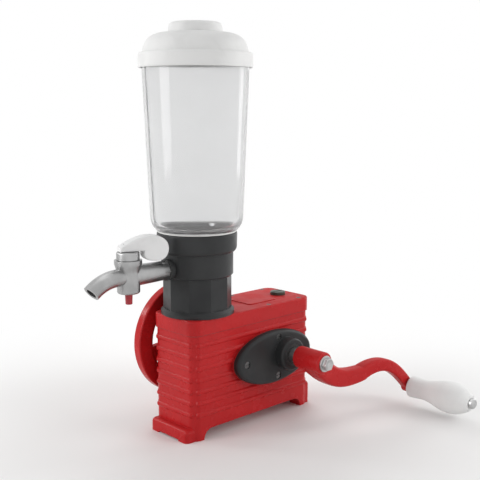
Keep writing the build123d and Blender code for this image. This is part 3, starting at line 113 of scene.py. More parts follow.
def mixed(tree, factor, first, second):
    """Colour output that runs from the first colour to the second by a factor."""
    first_colour, second_colour, colour_out = 6, 7, 2
    made = node(tree, "ShaderNodeMix", {"data_type": "RGBA"})
    feed(tree, made, 0, factor)
    feed(tree, made, first_colour, first)
    feed(tree, made, second_colour, second)
    return made.outputs[colour_out]


def spread(tree, value, least, most):
    """A 0 to 1 value carried onto a range from least to most."""
    made = node(tree, "ShaderNodeMapRange", Value=value)
    made.inputs["To Min"].default_value = least
    made.inputs["To Max"].default_value = most
    return made.outputs["Result"]


def step_between(tree, value, start, stop):
    """A value turned into a 0 to 1 mask that rises smoothly from start to stop."""
    made = node(tree, "ShaderNodeMapRange", {"interpolation_type": "SMOOTHSTEP"}, Value=value)
    made.inputs["From Min"].default_value = start
    made.inputs["From Max"].default_value = stop
    return made.outputs["Result"]


def new_group(name, inputs, outputs):
    """Empty shader group with float inputs and float outputs."""
    group = bpy.data.node_groups.new(name, "ShaderNodeTree")
    for label, value in inputs.items():
        socket = group.interface.new_socket(label, in_out="INPUT", socket_type="NodeSocketFloat")
        socket.default_value = value
    for label in outputs:
        group.interface.new_socket(label, in_out="OUTPUT", socket_type="NodeSocketFloat")
    return group, group.nodes.new("NodeGroupInput"), group.nodes.new("NodeGroupOutput")


# Shared effects


def casting_group():
    """Sand-cast skin under paint: broad swells, fine pits, and a slow drift of tone."""
    scales = {"Swell": 60.0, "Pit": 900.0}
    group, given, out = new_group("Casting Skin", scales, ("Tone", "Height", "Smudge"))
    pit_share = 0.25
    place = group.nodes.new("ShaderNodeTexCoord").outputs["Object"]
    swell = node(group, "ShaderNodeTexNoise", Vector=place, Scale=given.outputs["Swell"], Detail=3.0)
    pit = node(group, "ShaderNodeTexNoise", Vector=place, Scale=given.outputs["Pit"], Detail=2.0)
    drift = node(group, "ShaderNodeTexNoise", Vector=place, Scale=14.0, Detail=4.0, Roughness=0.6)
    height = calc(group, "ADD", swell.outputs[0], calc(group, "MULTIPLY", pit.outputs[0], pit_share))
    group.links.new(step_between(group, drift.outputs[0], start=0.3, stop=0.7), out.inputs["Tone"])
    group.links.new(height, out.inputs["Height"])
    smudge = step_between(group, swell.outputs[0], start=0.35, stop=0.7)
    group.links.new(smudge, out.inputs["Smudge"])
    return group


def edge_group():
    """Edge mask: where the normal of a rounded-over edge leaves the face's own normal, broken by noise."""
    group, given, out = new_group("Edge Wear and Highlight", {"Width": 0.0012, "Breakup": 260.0}, ("Edge",))
    rounded = node(group, "ShaderNodeBevel", {"samples": 4}, Radius=given.outputs["Width"])
    flat = group.nodes.new("ShaderNodeNewGeometry")
    along = group.nodes.new("ShaderNodeVectorMath")
    along.operation = "DOT_PRODUCT"
    group.links.new(rounded.outputs[0], along.inputs[0])
    group.links.new(flat.outputs["Normal"], along.inputs[1])
    bent = calc(group, "SUBTRACT", 1.0, along.outputs["Value"])
    place = group.nodes.new("ShaderNodeTexCoord").outputs["Object"]
    chips = node(group, "ShaderNodeTexNoise", Vector=place, Scale=given.outputs["Breakup"], Detail=3.0)
    bend = step_between(group, bent, start=0.02, stop=0.2)
    broken = calc(group, "MULTIPLY", bend, chips.outputs[0])
    group.links.new(step_between(group, broken, start=0.25, stop=0.6), out.inputs["Edge"])
    return group


def brushed_group():
    """Fine lines left by turning or brushing, stretched along one axis of the piece."""
    group, given, out = new_group("Brushed Lines", {"Across": 1400.0, "Along": 60.0}, ("Line", "Stain"))
    place = group.nodes.new("ShaderNodeTexCoord").outputs["Object"]
    size = group.nodes.new("ShaderNodeCombineXYZ")
    for axis, label in (("X", "Along"), ("Y", "Across"), ("Z", "Across")):
        group.links.new(given.outputs[label], size.inputs[axis])
    stretched = group.nodes.new("ShaderNodeVectorMath")
    stretched.operation = "MULTIPLY"
    group.links.new(place, stretched.inputs[0])
    group.links.new(size.outputs[0], stretched.inputs[1])
    line = node(group, "ShaderNodeTexNoise", Vector=stretched.outputs[0], Scale=1.0, Detail=2.0)
    stain = node(group, "ShaderNodeTexNoise", Vector=place, Scale=45.0, Detail=4.0)
    group.links.new(line.outputs[0], out.inputs["Line"])
    stained = step_between(group, stain.outputs[0], start=0.35, stop=0.7)
    group.links.new(stained, out.inputs["Stain"])
    return group


def dust_group():
    """Dulling of the faces that look up, where dust settles: the piece's own upright normal to a power."""
    group, given, out = new_group("Settled Dust", {"Reach": 4.0}, ("Dull",))
    normal = group.nodes.new("ShaderNodeTexCoord").outputs["Normal"]
    upward = node(group, "ShaderNodeSeparateXYZ", Vector=normal).outputs["Z"]
    dull = calc(group, "POWER", calc(group, "MAXIMUM", upward, 0.0), given.outputs["Reach"])
    group.links.new(dull, out.inputs["Dull"])
    return group


def moulded_group():
    """Moulded plastic: faint flow marks in the tone and a fine satin grain in the height."""
    group, given, out = new_group("Moulded Skin", {"Flow": 30.0, "Grain": 1600.0}, ("Flow", "Grain"))
    place = group.nodes.new("ShaderNodeTexCoord").outputs["Object"]
    flow = node(group, "ShaderNodeTexNoise", Vector=place, Scale=given.outputs["Flow"], Detail=3.0)
    feed(group, flow, "Distortion", 0.8)
    grain = node(group, "ShaderNodeTexNoise", Vector=place, Scale=given.outputs["Grain"], Detail=1.0)
    marks = step_between(group, flow.outputs[0], start=0.3, stop=0.7)
    group.links.new(marks, out.inputs["Flow"])
    group.links.new(grain.outputs[0], out.inputs["Grain"])
    return group


casting = casting_group()
edge_wear_and_highlight = edge_group()
brushed = brushed_group()
settled_dust = dust_group()
moulded = moulded_group()


# Materials


def blank(name):
    """New material, with its node tree and the Principled shader in it."""
    made = bpy.data.materials.new(name)
    made.use_nodes = True
    tree = made.node_tree
    shader = tree.nodes["Principled BSDF"]
    return made, tree, shader


def effect(tree, group, **values):
    """Place a shared effect in a material with its own values."""
    made = tree.nodes.new("ShaderNodeGroup")
    made.node_tree = group
    for name, value in values.items():
        made.inputs[name].default_value = value
    return made.outputs


def bump(tree, height, strength, distance):
    """Normal output of a bump node."""
    made = node(tree, "ShaderNodeBump", Height=height, Strength=strength, Distance=distance)
    return made.outputs["Normal"]


def painted(name, light, dark, highlit_worn_edge, roughness, sheen, skin):
    """Paint over a casting: tone drifts between two colours, edges turn a lighter third colour (part rubbed paint,
    part painted highlight), dust dulls the top.
    """
    edge_wear_and_highlight_share, dust_roughness = 0.6, 0.3
    made, tree, shader = blank(name)
    cast = effect(tree, casting, Swell=60.0, Pit=900.0)
    edge = effect(tree, edge_wear_and_highlight, Width=0.0012, Breakup=260.0)
    toned = mixed(tree, cast["Tone"], (*dark, 1), (*light, 1))
    # Edges take the lighter edge colour: partly rubbed paint, partly a painted highlight where rounded edges would
    # catch the light.
    highlit_and_rubbed = calc(tree, "MULTIPLY", edge["Edge"], edge_wear_and_highlight_share)
    feed(tree, shader, "Base Color", mixed(tree, highlit_and_rubbed, toned, (*highlit_worn_edge, 1)))
    gloss = spread(tree, cast["Smudge"], *roughness)
    dust = calc(tree, "MULTIPLY", effect(tree, settled_dust, Reach=4.0)["Dull"], dust_roughness)
    feed(tree, shader, "Roughness", calc(tree, "ADD", gloss, dust))
    feed(tree, shader, "Normal", bump(tree, cast["Height"], strength=skin, distance=0.0006))
    feed(tree, shader, "Specular IOR Level", sheen)
    return made


def metal(name, light, dark, roughness, across, along):
    """Bare metal with fine working lines, a faint stain and edges rubbed bright."""
    edge_gain = 1.25
    made, tree, shader = blank(name)
    lines = effect(tree, brushed, Across=across, Along=along)
    edge = effect(tree, edge_wear_and_highlight, Width=0.0006, Breakup=400.0)
    toned = mixed(tree, lines["Stain"], (*dark, 1), (*light, 1))
    bright = tuple(min(1.0, edge_gain * value) for value in light)
    feed(tree, shader, "Base Color", mixed(tree, edge["Edge"], toned, (*bright, 1)))
    feed(tree, shader, "Metallic", 1.0)
    feed(tree, shader, "Roughness", spread(tree, lines["Line"], *roughness))
    feed(tree, shader, "Normal", bump(tree, lines["Line"], strength=0.12, distance=0.0002))
    return made


def plastic(name, light, dark, roughness, grain, scatter=0.0, sheen=0.5):
    """Moulded plastic or rubber with faint flow marks and a satin grain."""
    made, tree, shader = blank(name)
    skin = effect(tree, moulded, Flow=30.0, Grain=1600.0)
    feed(tree, shader, "Base Color", mixed(tree, skin["Flow"], (*dark, 1), (*light, 1)))
    feed(tree, shader, "Specular IOR Level", sheen)
    feed(tree, shader, "Roughness", spread(tree, skin["Flow"], *roughness))
    feed(tree, shader, "Normal", bump(tree, skin["Grain"], strength=grain, distance=0.0002))
    feed(tree, shader, "Subsurface Weight", scatter)
    feed(tree, shader, "Subsurface Radius", (0.004, 0.004, 0.004))
    return made


def clear(name, tint, roughness):
    """Clear moulded plastic: slight waviness of the wall bends what is seen through it."""
    flow_tone = 0.985
    made, tree, shader = blank(name)
    skin = effect(tree, moulded, Flow=22.0)
    deeper = tuple(flow_tone * value for value in tint)
    feed(tree, shader, "Base Color", mixed(tree, skin["Flow"], (*tint, 1), (*deeper, 1)))
    feed(tree, shader, "Roughness", spread(tree, skin["Flow"], *roughness))
    feed(tree, shader, "Normal", bump(tree, skin["Flow"], strength=0.05, distance=0.0008))
    feed(tree, shader, "Transmission Weight", 0.88)
    feed(tree, shader, "IOR", 1.4)
    return made


finishes = {
    "red_paint": painted(
        "red enamel",
        light=(0.495, 0.017, 0.019),
        dark=(0.435, 0.013, 0.015),
        # Lighter edge colour: part wear, part painted highlight on the edges.
        highlit_worn_edge=(0.57, 0.07, 0.07),
        roughness=(0.2, 0.32),
        sheen=0.18,
        skin=0.06,
    ),
    "dark_paint": painted(
        "charcoal paint",
        light=(0.042, 0.043, 0.044),
        dark=(0.028, 0.029, 0.03),
        # Lighter edge colour: part wear, part painted highlight on the edges.
        highlit_worn_edge=(0.1, 0.1, 0.1),
        roughness=(0.3, 0.45),
        sheen=0.18,
        skin=0.1,
    ),
    "steel": metal(
        "turned steel",
        light=(0.62, 0.62, 0.62),
        dark=(0.46, 0.46, 0.46),
        roughness=(0.22, 0.4),
        across=1400.0,
        along=60.0,
    ),
    "screw_steel": metal(
        "blackened steel",
        light=(0.2, 0.2, 0.2),
        dark=(0.13, 0.13, 0.13),
        roughness=(0.35, 0.55),
        across=900.0,
        along=200.0,
    ),
    "gear_steel": metal(
        "cut steel",
        light=(0.42, 0.42, 0.43),
        dark=(0.28, 0.28, 0.29),
        roughness=(0.3, 0.5),
        across=900.0,
        along=200.0,
    ),
    "bronze": metal(
        "bearing bronze",
        light=(0.62, 0.42, 0.18),
        dark=(0.42, 0.27, 0.1),
        roughness=(0.3, 0.5),
        across=900.0,
        along=200.0,
    ),
    "tap_metal": metal(
        "satin plating",
        light=(0.46, 0.46, 0.46),
        dark=(0.36, 0.36, 0.36),
        roughness=(0.27, 0.4),
        across=700.0,
        along=90.0,
    ),
    "seal_rubber": plastic(
        "black rubber",
        light=(0.035, 0.035, 0.035),
        dark=(0.02, 0.02, 0.02),
        roughness=(0.55, 0.75),
        grain=0.2,
    ),
    "fibre_gasket": plastic(
        "fibre sheet",
        light=(0.2, 0.03, 0.028),
        dark=(0.13, 0.02, 0.02),
        roughness=(0.65, 0.85),
        grain=0.3,
    ),
    "white_gasket": plastic(
        "white rubber",
        light=(0.8, 0.8, 0.78),
        dark=(0.7, 0.7, 0.68),
        roughness=(0.45, 0.6),
        grain=0.1,
        scatter=0.1,
    ),
    "black_plastic": plastic(
        "dark plastic",
        light=(0.06, 0.065, 0.05),
        dark=(0.035, 0.04, 0.03),
        roughness=(0.35, 0.55),
        grain=0.15,
    ),
    "white_plastic": plastic(
        "white plastic",
        light=(0.8, 0.8, 0.795),
        dark=(0.75, 0.75, 0.745),
        roughness=(0.4, 0.52),
        grain=0.05,
        scatter=0.15,
        sheen=0.12,
    ),
    "lever_plastic": plastic(
        "pale lever plastic",
        light=(0.84, 0.84, 0.84),
        dark=(0.78, 0.78, 0.78),
        roughness=(0.34, 0.46),
        grain=0.05,
        scatter=0.1,
        sheen=0.2,
    ),
    "red_plastic": plastic(
        "red plastic",
        light=(0.42, 0.02, 0.03),
        dark=(0.3, 0.012, 0.02),
        roughness=(0.25, 0.4),
        grain=0.1,
    ),
    "clear_plastic": clear("clear plastic", tint=(0.93, 0.932, 0.935), roughness=(0.08, 0.14)),
}


# Surfaces


def eased(corners, steps=7):
    """Open outline through (a, b, setback) corners, each softened by a parabola.

    A corner P between the runs to its neighbours becomes (1-t)^2 A + 2t(1-t) P + t^2 B, where A and B
    lie on the two runs at the setback from P: at most halfway along a run to another softened corner,
    and at most the whole of a run to a sharp one. The ends stay sharp.
    """
    half_run, whole_run = 0.499, 0.999
    flat = np.array([corner[:2] for corner in corners], float)
    t = np.linspace(0, 1, steps)[:, None]
    stretches = [flat[:1]]
    for here in range(1, len(corners) - 1):
        bend = flat[here : here + 1]
        if corners[here][2]:
            ends = []
            for other in (here - 1, here + 1):
                run = flat[other] - flat[here]
                most = half_run if corners[other][2] else whole_run
                ends.append(flat[here] + run * min(most, corners[here][2] / np.hypot(*run)))
            bend = (1 - t) ** 2 * ends[0] + 2 * t * (1 - t) * flat[here] + t**2 * ends[1]
        stretches.append(bend)
    return np.vstack([*stretches, flat[-1:]])


def eased_ring(corners, steps=7):
    """Closed outline through (a, b, setback) corners, begun midway along the run that closes it."""
    middle = (*((np.array(corners[0][:2]) + np.array(corners[-1][:2])) / 2), 0)
    return eased([middle, *corners, middle], steps)[:-1]


def turned(outline, axis, along="Z", columns=128):
    """Outline of (radius, height) pairs turned about an upright or a Y axis.

    Point = axis + radius (cos a, sin a) across the axis + height along it, for angles a round a turn.
    """
    angle = np.linspace(0, 2 * pi, columns, endpoint=False)
    radius, height = outline[:, :1], np.repeat(outline[:, 1:], columns, axis=1)
    aside, across = radius * np.cos(angle), radius * np.sin(angle)
    if along == "Z":
        return np.dstack([axis[0] + aside, axis[1] + across, height])
    return np.dstack([axis[0] + aside, height, axis[2] + across])


def moved_out(points, gain):
    """Points about the tower with their distance from its axis multiplied by a gain."""
    points[:, :, :2] = tower_axis[:2] + (points[:, :, :2] - tower_axis[:2]) * gain[:, :, None]
    return points


def grid_mesh(name, *grids):
    """Mesh of one or more closed skins: each (points, wraps) grid joins neighbouring rows and columns.

    Columns always close round. Rows close where wraps is true, and otherwise end in poles or at rims.
    """
    same_place = 1e-6
    corners = []
    quads = []
    count = 0
    for points, wraps in grids:
        rows, columns = points.shape[:2]
        index = count + np.arange(rows * columns).reshape(rows, columns)
        index = np.hstack([index, index[:, :1]])
        if wraps:
            index = np.vstack([index, index[:1]])
        square = np.stack([index[:-1, :-1], index[:-1, 1:], index[1:, 1:], index[1:, :-1]], axis=-1)
        corners.append(points.reshape(-1, 3))
        quads.append(square.reshape(-1, 4))
        count += rows * columns
    mesh = bpy.data.meshes.new(name)
    mesh.from_pydata(np.vstack(corners).tolist(), [], np.vstack(quads).tolist())
    work = bmesh.new()
    work.from_mesh(mesh)
    bmesh.ops.remove_doubles(work, verts=work.verts, dist=same_place)
    bmesh.ops.recalc_face_normals(work, faces=work.faces)
    work.to_mesh(mesh)
    work.free()
    return mesh


# Pieces


def settle(name, mesh, cad_node, sharp=plain_sharp):
    """Put a finished mesh into the scene in place of a CAD node, on its body and with its finish."""
    slot = slot_of_node[cad_node]
    made = bpy.data.objects.new(name, mesh)
    bpy.context.scene.collection.objects.link(made)
    mesh.materials.clear()
    mesh.materials.append(finishes[slot])
    mesh.shade_smooth()
    mesh.set_sharp_from_angle(angle=radians(sharp))
    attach(made, body_of_node[cad_node])
    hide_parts(cad_node)
    return made


def merged_copy(cad_node, edge=plain_edge, sharp=plain_sharp):
    """Copy of a CAD node with its loose triangles merged, its flats joined and its hard edges broken."""
    same_place, same_plane, widest_edge = 2e-6, 0.5, 40.0
    mesh = frame["nodes"][cad_node].data.copy()
    work = bmesh.new()
    work.from_mesh(mesh)
    bmesh.ops.remove_doubles(work, verts=work.verts, dist=same_place)
    bmesh.ops.dissolve_limit(
        work,
        angle_limit=radians(same_plane),
        verts=work.verts,
        edges=work.edges,
        use_dissolve_boundaries=False,
    )
    work.to_mesh(mesh)
    work.free()
    made = settle(cad_node + "_skin", mesh, cad_node, sharp)
    broken = made.modifiers.new("broken edges", "BEVEL")
    broken.width = edge
    broken.segments = 2
    broken.limit_method = "ANGLE"
    broken.angle_limit = radians(min(widest_edge, sharp))
    weighted = made.modifiers.new("flat faces stay flat", "WEIGHTED_NORMAL")
    weighted.keep_sharp = True


def jar_piece():
    """Clear jar: a wall outline turned about the tower, with four shallow ribs down the inside.

    Between the foot and the rim a rib pulls the inner wall in by depth * exp(-(angle from it / spread)^2).
    """
    bottom, seat, rim = low("jar", 2), high("jar_gasket", 2), high("jar", 2)
    columns, wall, edge, rim_rounding = 192, 3.0 * MM, 0.8 * MM, 1.4 * MM
    bore, seat_radius, seat_rounding = 39.5 * MM, 45.9 * MM, 1.0 * MM
    foot_radius, foot_rise, foot_rounding = 52.6 * MM, 8.0 * MM, 10.0 * MM
    inner_radius, inner_rise, inner_rounding = 49.6 * MM, 9.6 * MM, 9.0 * MM
    floor_rise, floor_rounding = 2.0 * MM, 3.0 * MM
    rim_radius = 60.2 * MM
    rib_place, rib_spread, rib_depth = radians(249), radians(3.2), 1.3 * MM
    rib_above_seat, rib_below_rim = 12.0 * MM, 4.0 * MM
    outside = [
        (bore, bottom, edge),
        (spigot_radius, bottom, edge),
        (spigot_radius, seat, 0),
        (seat_radius, seat, seat_rounding),
        (foot_radius, seat + foot_rise, foot_rounding),
        (rim_radius, rim, rim_rounding),
    ]
    inside = [
        (rim_radius - wall, rim, rim_rounding),
        (inner_radius, seat + inner_rise, inner_rounding),
        (bore, seat + floor_rise, floor_rounding),
    ]
    outline = eased_ring(outside + inside, steps=9)
    points = turned(outline, tower_axis, columns=columns)
    angle = np.linspace(0, 2 * pi, columns, endpoint=False)
    from_rib = (angle - rib_place + pi / 4) % (pi / 2) - pi / 4
    pulse = np.exp(-((from_rib / rib_spread) ** 2))
    height = outline[:, 1]
    outer_line = np.interp(height, [seat + foot_rise, rim], [foot_radius, rim_radius])
    between = (height > seat + rib_above_seat) & (height < rim - rib_below_rim)
    lined = (outline[:, 0] < outer_line - wall / 2) & between
    points = moved_out(points, 1.0 - rib_depth * lined[:, None] * pulse / outline[:, :1])
    settle("clear_jar", grid_mesh("clear_jar", (points, True)), "jar")


def lid_piece():
    """Domed lid: skirt, band and crown in one wall outline turned about the tower.

    Two fine mould lines run down the crown, where the radius gains height * exp(-(angle / width)^2).
    """
    bottom, top = low("lid", 2), high("lid", 2)
    under = high("lid_seal", 2)
    columns, wall, edge = 256, 3.0 * MM, 0.8 * MM
    band = under + wall
    skirt_bore, band_radius, band_rounding = 61.0 * MM, 64.0 * MM, 4.0 * MM
    step_radius, step_depth, step_rounding = 59.0 * MM, 0.6 * MM, 0.5 * MM
    crown_foot, crown_rise, crown_shoulder = 58.6 * MM, 3.0 * MM, 55.4 * MM
    crown_rounding, crown_flat = 24.0 * MM, 34.0 * MM
    hole_radius, hole_rim, hole_depth = 22.0 * MM, 25.0 * MM, 6.0 * MM
    inner_foot, spigot_bore, spigot_outer, spigot_depth = 55.2 * MM, 53.0 * MM, 56.0 * MM, 10.0 * MM
    seam_place, seam_width, seam_height = radians(224.6), 0.012, 0.5 * MM
    seam_above_band, seam_inner = 1.0 * MM, 47.0 * MM
    outline = eased_ring(
        [
            (skirt_bore, bottom, edge),
            (band_radius, bottom, band_rounding),
            (band_radius, band + step_depth, band_rounding),
            (step_radius, band - step_depth, step_rounding),
            (crown_foot, band + crown_rise, 0),
            (crown_shoulder, top, crown_rounding),
            (crown_flat, top, 0),
            (hole_radius, top, edge),
            (hole_radius, top - hole_depth, edge),
            (hole_rim, top - hole_depth, edge),
            (hole_rim, top - wall, 0),
            (crown_flat, top - wall, 0),
            (crown_shoulder - wall, top - wall, crown_rounding),
            (inner_foot, band + crown_rise, 0),
            (inner_foot, under + wall, edge),
            (spigot_bore, under, edge),
            (spigot_bore, under - spigot_depth, edge),
            (spigot_outer, under - spigot_depth, edge),
            (spigot_outer, under, 0),
            (skirt_bore, under, 0),
        ],
        steps=12,
    )
    outer = np.arange(len(outline)) < np.argmin(outline[:, 0])
    points = turned(outline, tower_axis, columns=columns)
    angle = np.linspace(0, 2 * pi, columns, endpoint=False)
    from_seam = (angle - seam_place + pi / 2) % pi - pi / 2
    crown = (outline[:, 1] > band + seam_above_band) & (outline[:, 0] > seam_inner) & outer
    ridge = np.exp(-((from_seam / seam_width) ** 2))
    points = moved_out(points, 1 + seam_height * crown[:, None] * ridge / outline[:, :1])
    settle("domed_lid", grid_mesh("domed_lid", (points, True)), "lid")


def lid_cap_piece():
    """Filler cap: a shallow cup with a plug below, turned about the tower."""
    bottom, top = low("lid_cap", 2), high("lid_cap", 2)
    seat = high("lid", 2)
    radius = high("lid_cap", 0) - tower_axis[0]
    draft, roof, plug_edge = 0.6 * MM, 2.5 * MM, 0.7 * MM
    plug_radius, plug_bore = 21.7 * MM, 19.2 * MM
    top_rounding, lip_rounding, roof_rounding = 5.0 * MM, 0.6 * MM, 2.0 * MM
    outline = eased(
        [
            (0, top, 0),
            (radius - draft, top, top_rounding),
            (radius, seat, lip_rounding),
            (plug_radius, seat, 0),
            (plug_radius, bottom, plug_edge),
            (plug_bore, bottom, plug_edge),
            (plug_bore, top - roof, roof_rounding),
            (0, top - roof, 0),
        ]
    )
    points = turned(outline, tower_axis)
    settle("filler_cap", grid_mesh("filler_cap", (points, False)), "lid_cap")


def collar_piece():
    """Jar collar: a stepped ring with softened edges, turned about the tower."""
    bottom, top = low("jar_collar", 2), high("jar_collar", 2)
    bore, step_height = 39.2 * MM, 9.5 * MM
    foot_radius, foot_rounding = 42.6 * MM, 1.6 * MM
    side_radius, side_rise, side_rounding = 45.6 * MM, 3.4 * MM, 3.0 * MM
    brim_radius, brim_drop, brim_rounding = 46.1 * MM, 3.0 * MM, 2.0 * MM
    top_rounding = 1.8 * MM
    outline = eased_ring(
        [
            (bore, bottom, 0),
            (foot_radius, bottom, foot_rounding),
            (side_radius, bottom + side_rise, side_rounding),
            (brim_radius, top - brim_drop, brim_rounding),
            (side_radius, top, top_rounding),
            (spigot_radius, top, 0),
            (spigot_radius, bottom + step_height, 0),
            (bore, bottom + step_height, 0),
        ]
    )
    points = turned(outline, tower_axis)
    settle("collar_ring", grid_mesh("collar_ring", (points, True)), "jar_collar")


def smooth_step(share, start, stop):
    """3t^2 - 2t^3 of the way from start to stop, held at 0 before and at 1 after."""
    t = np.clip((share - start) / (stop - start), 0, 1)
    return t * t * (3 - 2 * t)


def grip_piece():
    """Turned grip: collar, slim neck, belly and rounded end, turned about the handle pin.

    The radius at a share of the length is the collar's, less a smooth step down to the neck, plus one up
    to the belly, times sqrt(1 - closing e^power) over the last stretch, where e runs from 0 to 1.
    """
    near, far = high("crank_grip", 1), low("crank_grip", 1)
    collar, neck, belly, bore = 13.5 * MM, 11.8 * MM, 21.9 * MM, 5.05 * MM
    collar_edge = 1.2 * MM
    neck_start, neck_stop, belly_start, belly_stop = 0.05, 0.31, 0.16, 0.82
    round_start, closing, power = 0.45, 0.83, 2.2
    neck_rows, end_rows, first_turn = 30, 40, 0.03
    into_end = 1 - np.cos(np.linspace(first_turn, pi / 2, end_rows))
    to_belly = np.linspace(0, round_start, neck_rows)
    share = np.concatenate([to_belly, 1 - (1 - round_start) * (1 - into_end)])
    radius = collar - (collar - neck) * smooth_step(share, neck_start, neck_stop)
    radius += (belly - neck) * smooth_step(share, belly_start, belly_stop)
    ending = np.clip((share - round_start) / (1 - round_start), 0, 1)
    radius *= np.sqrt(1 - closing * ending**power)
    outside = np.stack([radius, near + share * (far - near)], axis=1)
    outside[0] = [collar, near - collar_edge]
    rim = [[bore, near], [collar - collar_edge, near]]
    end = [[bore, far]]
    points = turned(np.vstack([rim, outside, end]), grip_axis, "Y", columns=96)
    settle("turned_grip", grid_mesh("turned_grip", (points, True)), "crank_grip")


def swept(path, widths, depths, squareness, columns=48):
    """Rounded section carried along a path that runs in the plane of the crank's swing.

    Section = (width/2 |cos a|^q, depth/2 |sin a|^q) with the signs of cos a and sin a, laid across the
    path's heading and along Y. A row of zero size closes each end.
    """
    heading = np.gradient(path, axis=0)
    across = np.stack([-heading[:, 2], np.zeros(len(path)), heading[:, 0]], axis=1)
    across /= np.linalg.norm(across, axis=1, keepdims=True)
    angle = np.linspace(0, 2 * pi, columns, endpoint=False)
    flat = np.sign(np.cos(angle)) * np.abs(np.cos(angle)) ** squareness
    deep = np.sign(np.sin(angle)) * np.abs(np.sin(angle)) ** squareness
    aside = (widths / 2)[:, None, None] * flat[None, :, None] * across[:, None, :]
    outward = (depths / 2)[:, None, None] * deep[None, :, None] * np.array([0, 1, 0])
    return path[:, None, :] + aside + outward


def crank_arm_piece():
    """Cast crank arm: a hub and an eye joined by an arm that dips, crosses the straight line and crests.

    At share s of the way from hub to eye the arm stands off the straight line by -dip sin(pi s / c) up
    to the crossing c, then by crest sin(pi u^lean) with u = (s - c) / (1 - c). Its width falls off as
    exp(-(s / taper)^2) and its depth evenly, with a flare into the hub.
    """
    rows, squareness = 72, 0.4
    dip, crest, crossing, lean = 12.2 * MM, 17.3 * MM, 0.48, 0.87
    tip_width, root_gain, taper = 13.5 * MM, 11.9 * MM, 0.5
    root_depth, depth_loss = 22.0 * MM, 11.4 * MM
    flare_depth, flare_reach = 8.0 * MM, 0.11
    hub_bore, hub_radius, hub_seat = 7.9 * MM, 13.0 * MM, 2.0 * MM
    near_rounding, far_rounding = 1.4 * MM, 1.8 * MM
    eye_bore, eye_radius, eye_half, eye_rounding = 5.0 * MM, 8.0 * MM, 5.5 * MM, 1.5 * MM
    hub_near, hub_far = high("crank_arm", 1), low("crank_washer", 1) + hub_seat
    hub_middle = (hub_near + hub_far) / 2
    eye_middle = low("crank_arm", 1) + eye_half
    share = np.linspace(0.0, 1.0, rows)
    u = np.clip((share - crossing) / (1 - crossing), 0, 1)
    offset = np.where(share < crossing, -dip * np.sin(pi * share / crossing), crest * np.sin(pi * u**lean))
    straight = grip_axis - crank_axis
    across = np.array([-straight[2], 0, straight[0]]) / np.hypot(straight[0], straight[2])
    path = crank_axis + share[:, None] * straight + offset[:, None] * across
    path[:, 1] = hub_middle + share * (eye_middle - hub_middle)
    widths = tip_width + root_gain * np.exp(-((share / taper) ** 2))
    depths = root_depth - depth_loss * share + flare_depth * np.exp(-((share / flare_reach) ** 2))
    widths[[0, -1]] = 0
    depths[[0, -1]] = 0
    arm = swept(path, widths, depths, squareness)
    hub = eased_ring(
        [
            (hub_bore, hub_near, 0),
            (hub_radius, hub_near, near_rounding),
            (hub_radius, hub_far, far_rounding),
            (hub_bore, hub_far, 0),
        ]
    )
    eye = eased_ring(
        [
            (eye_bore, eye_middle + eye_half, 0),
            (eye_radius, eye_middle + eye_half, eye_rounding),
            (eye_radius, eye_middle - eye_half, eye_rounding),
            (eye_bore, eye_middle - eye_half, 0),
        ]
    )
    mesh = grid_mesh(
        "cast_crank",
        (arm, False),
        (turned(hub, crank_axis, "Y", columns=72), True),
        (turned(eye, grip_axis, "Y", columns=56), True),
    )
    settle("cast_crank", mesh, "crank_arm")


def jar_gasket_piece():
    """White gasket under the jar: a flat ring with round edges, turned about the tower."""
    bottom, top = low("jar_gasket", 2), high("jar_gasket", 2)
    radius, inner_edge, outer_edge = 45.3 * MM, 0.3 * MM, 0.6 * MM
    outline = eased_ring(
        [
            (spigot_radius, bottom, inner_edge),
            (radius, bottom, outer_edge),
            (radius, top, outer_edge),
            (spigot_radius, top, inner_edge),
        ]
    )
    points = turned(outline, tower_axis)
    settle("jar_seat_ring", grid_mesh("jar_seat_ring", (points, True)), "jar_gasket")


hand_made = {
    "jar": jar_piece,
    "lid": lid_piece,
    "lid_cap": lid_cap_piece,
    "jar_collar": collar_piece,
    "jar_gasket": jar_gasket_piece,
    "crank_grip": grip_piece,
    "crank_arm": crank_arm_piece,
}

# Width of the broken edges, and the angle from which an edge is sharp, where these aren't the plain ones
soft_edges = {
    "gearbox_case": {"edge": 0.7 * MM, "sharp": 62.0},
    "top_cover": {"edge": 1.0 * MM},
    "tower_base": {"edge": 0.8 * MM, "sharp": 25.0},
    "juice_chamber": {"edge": 0.9 * MM},
    "flywheel": {"edge": 1.0 * MM},
    "tap_body": {"edge": 0.7 * MM},
    "tap_cap": {"edge": 0.5 * MM},
}
for cad_node in sorted(frame["nodes"]):
    if cad_node in hand_made:
        hand_made[cad_node]()
    else:
        merged_copy(cad_node, **soft_edges.get(cad_node, {}))


# Floor, lights and camera


def seen_rays(tree):
    """1 for rays from the camera, mirrored or through clear plastic, and 0 for light on the object."""
    path = tree.nodes.new("ShaderNodeLightPath").outputs
    bent = calc(tree, "MAXIMUM", path["Is Glossy Ray"], path["Is Transmission Ray"])
    return calc(tree, "MAXIMUM", path["Is Camera Ray"], bent)


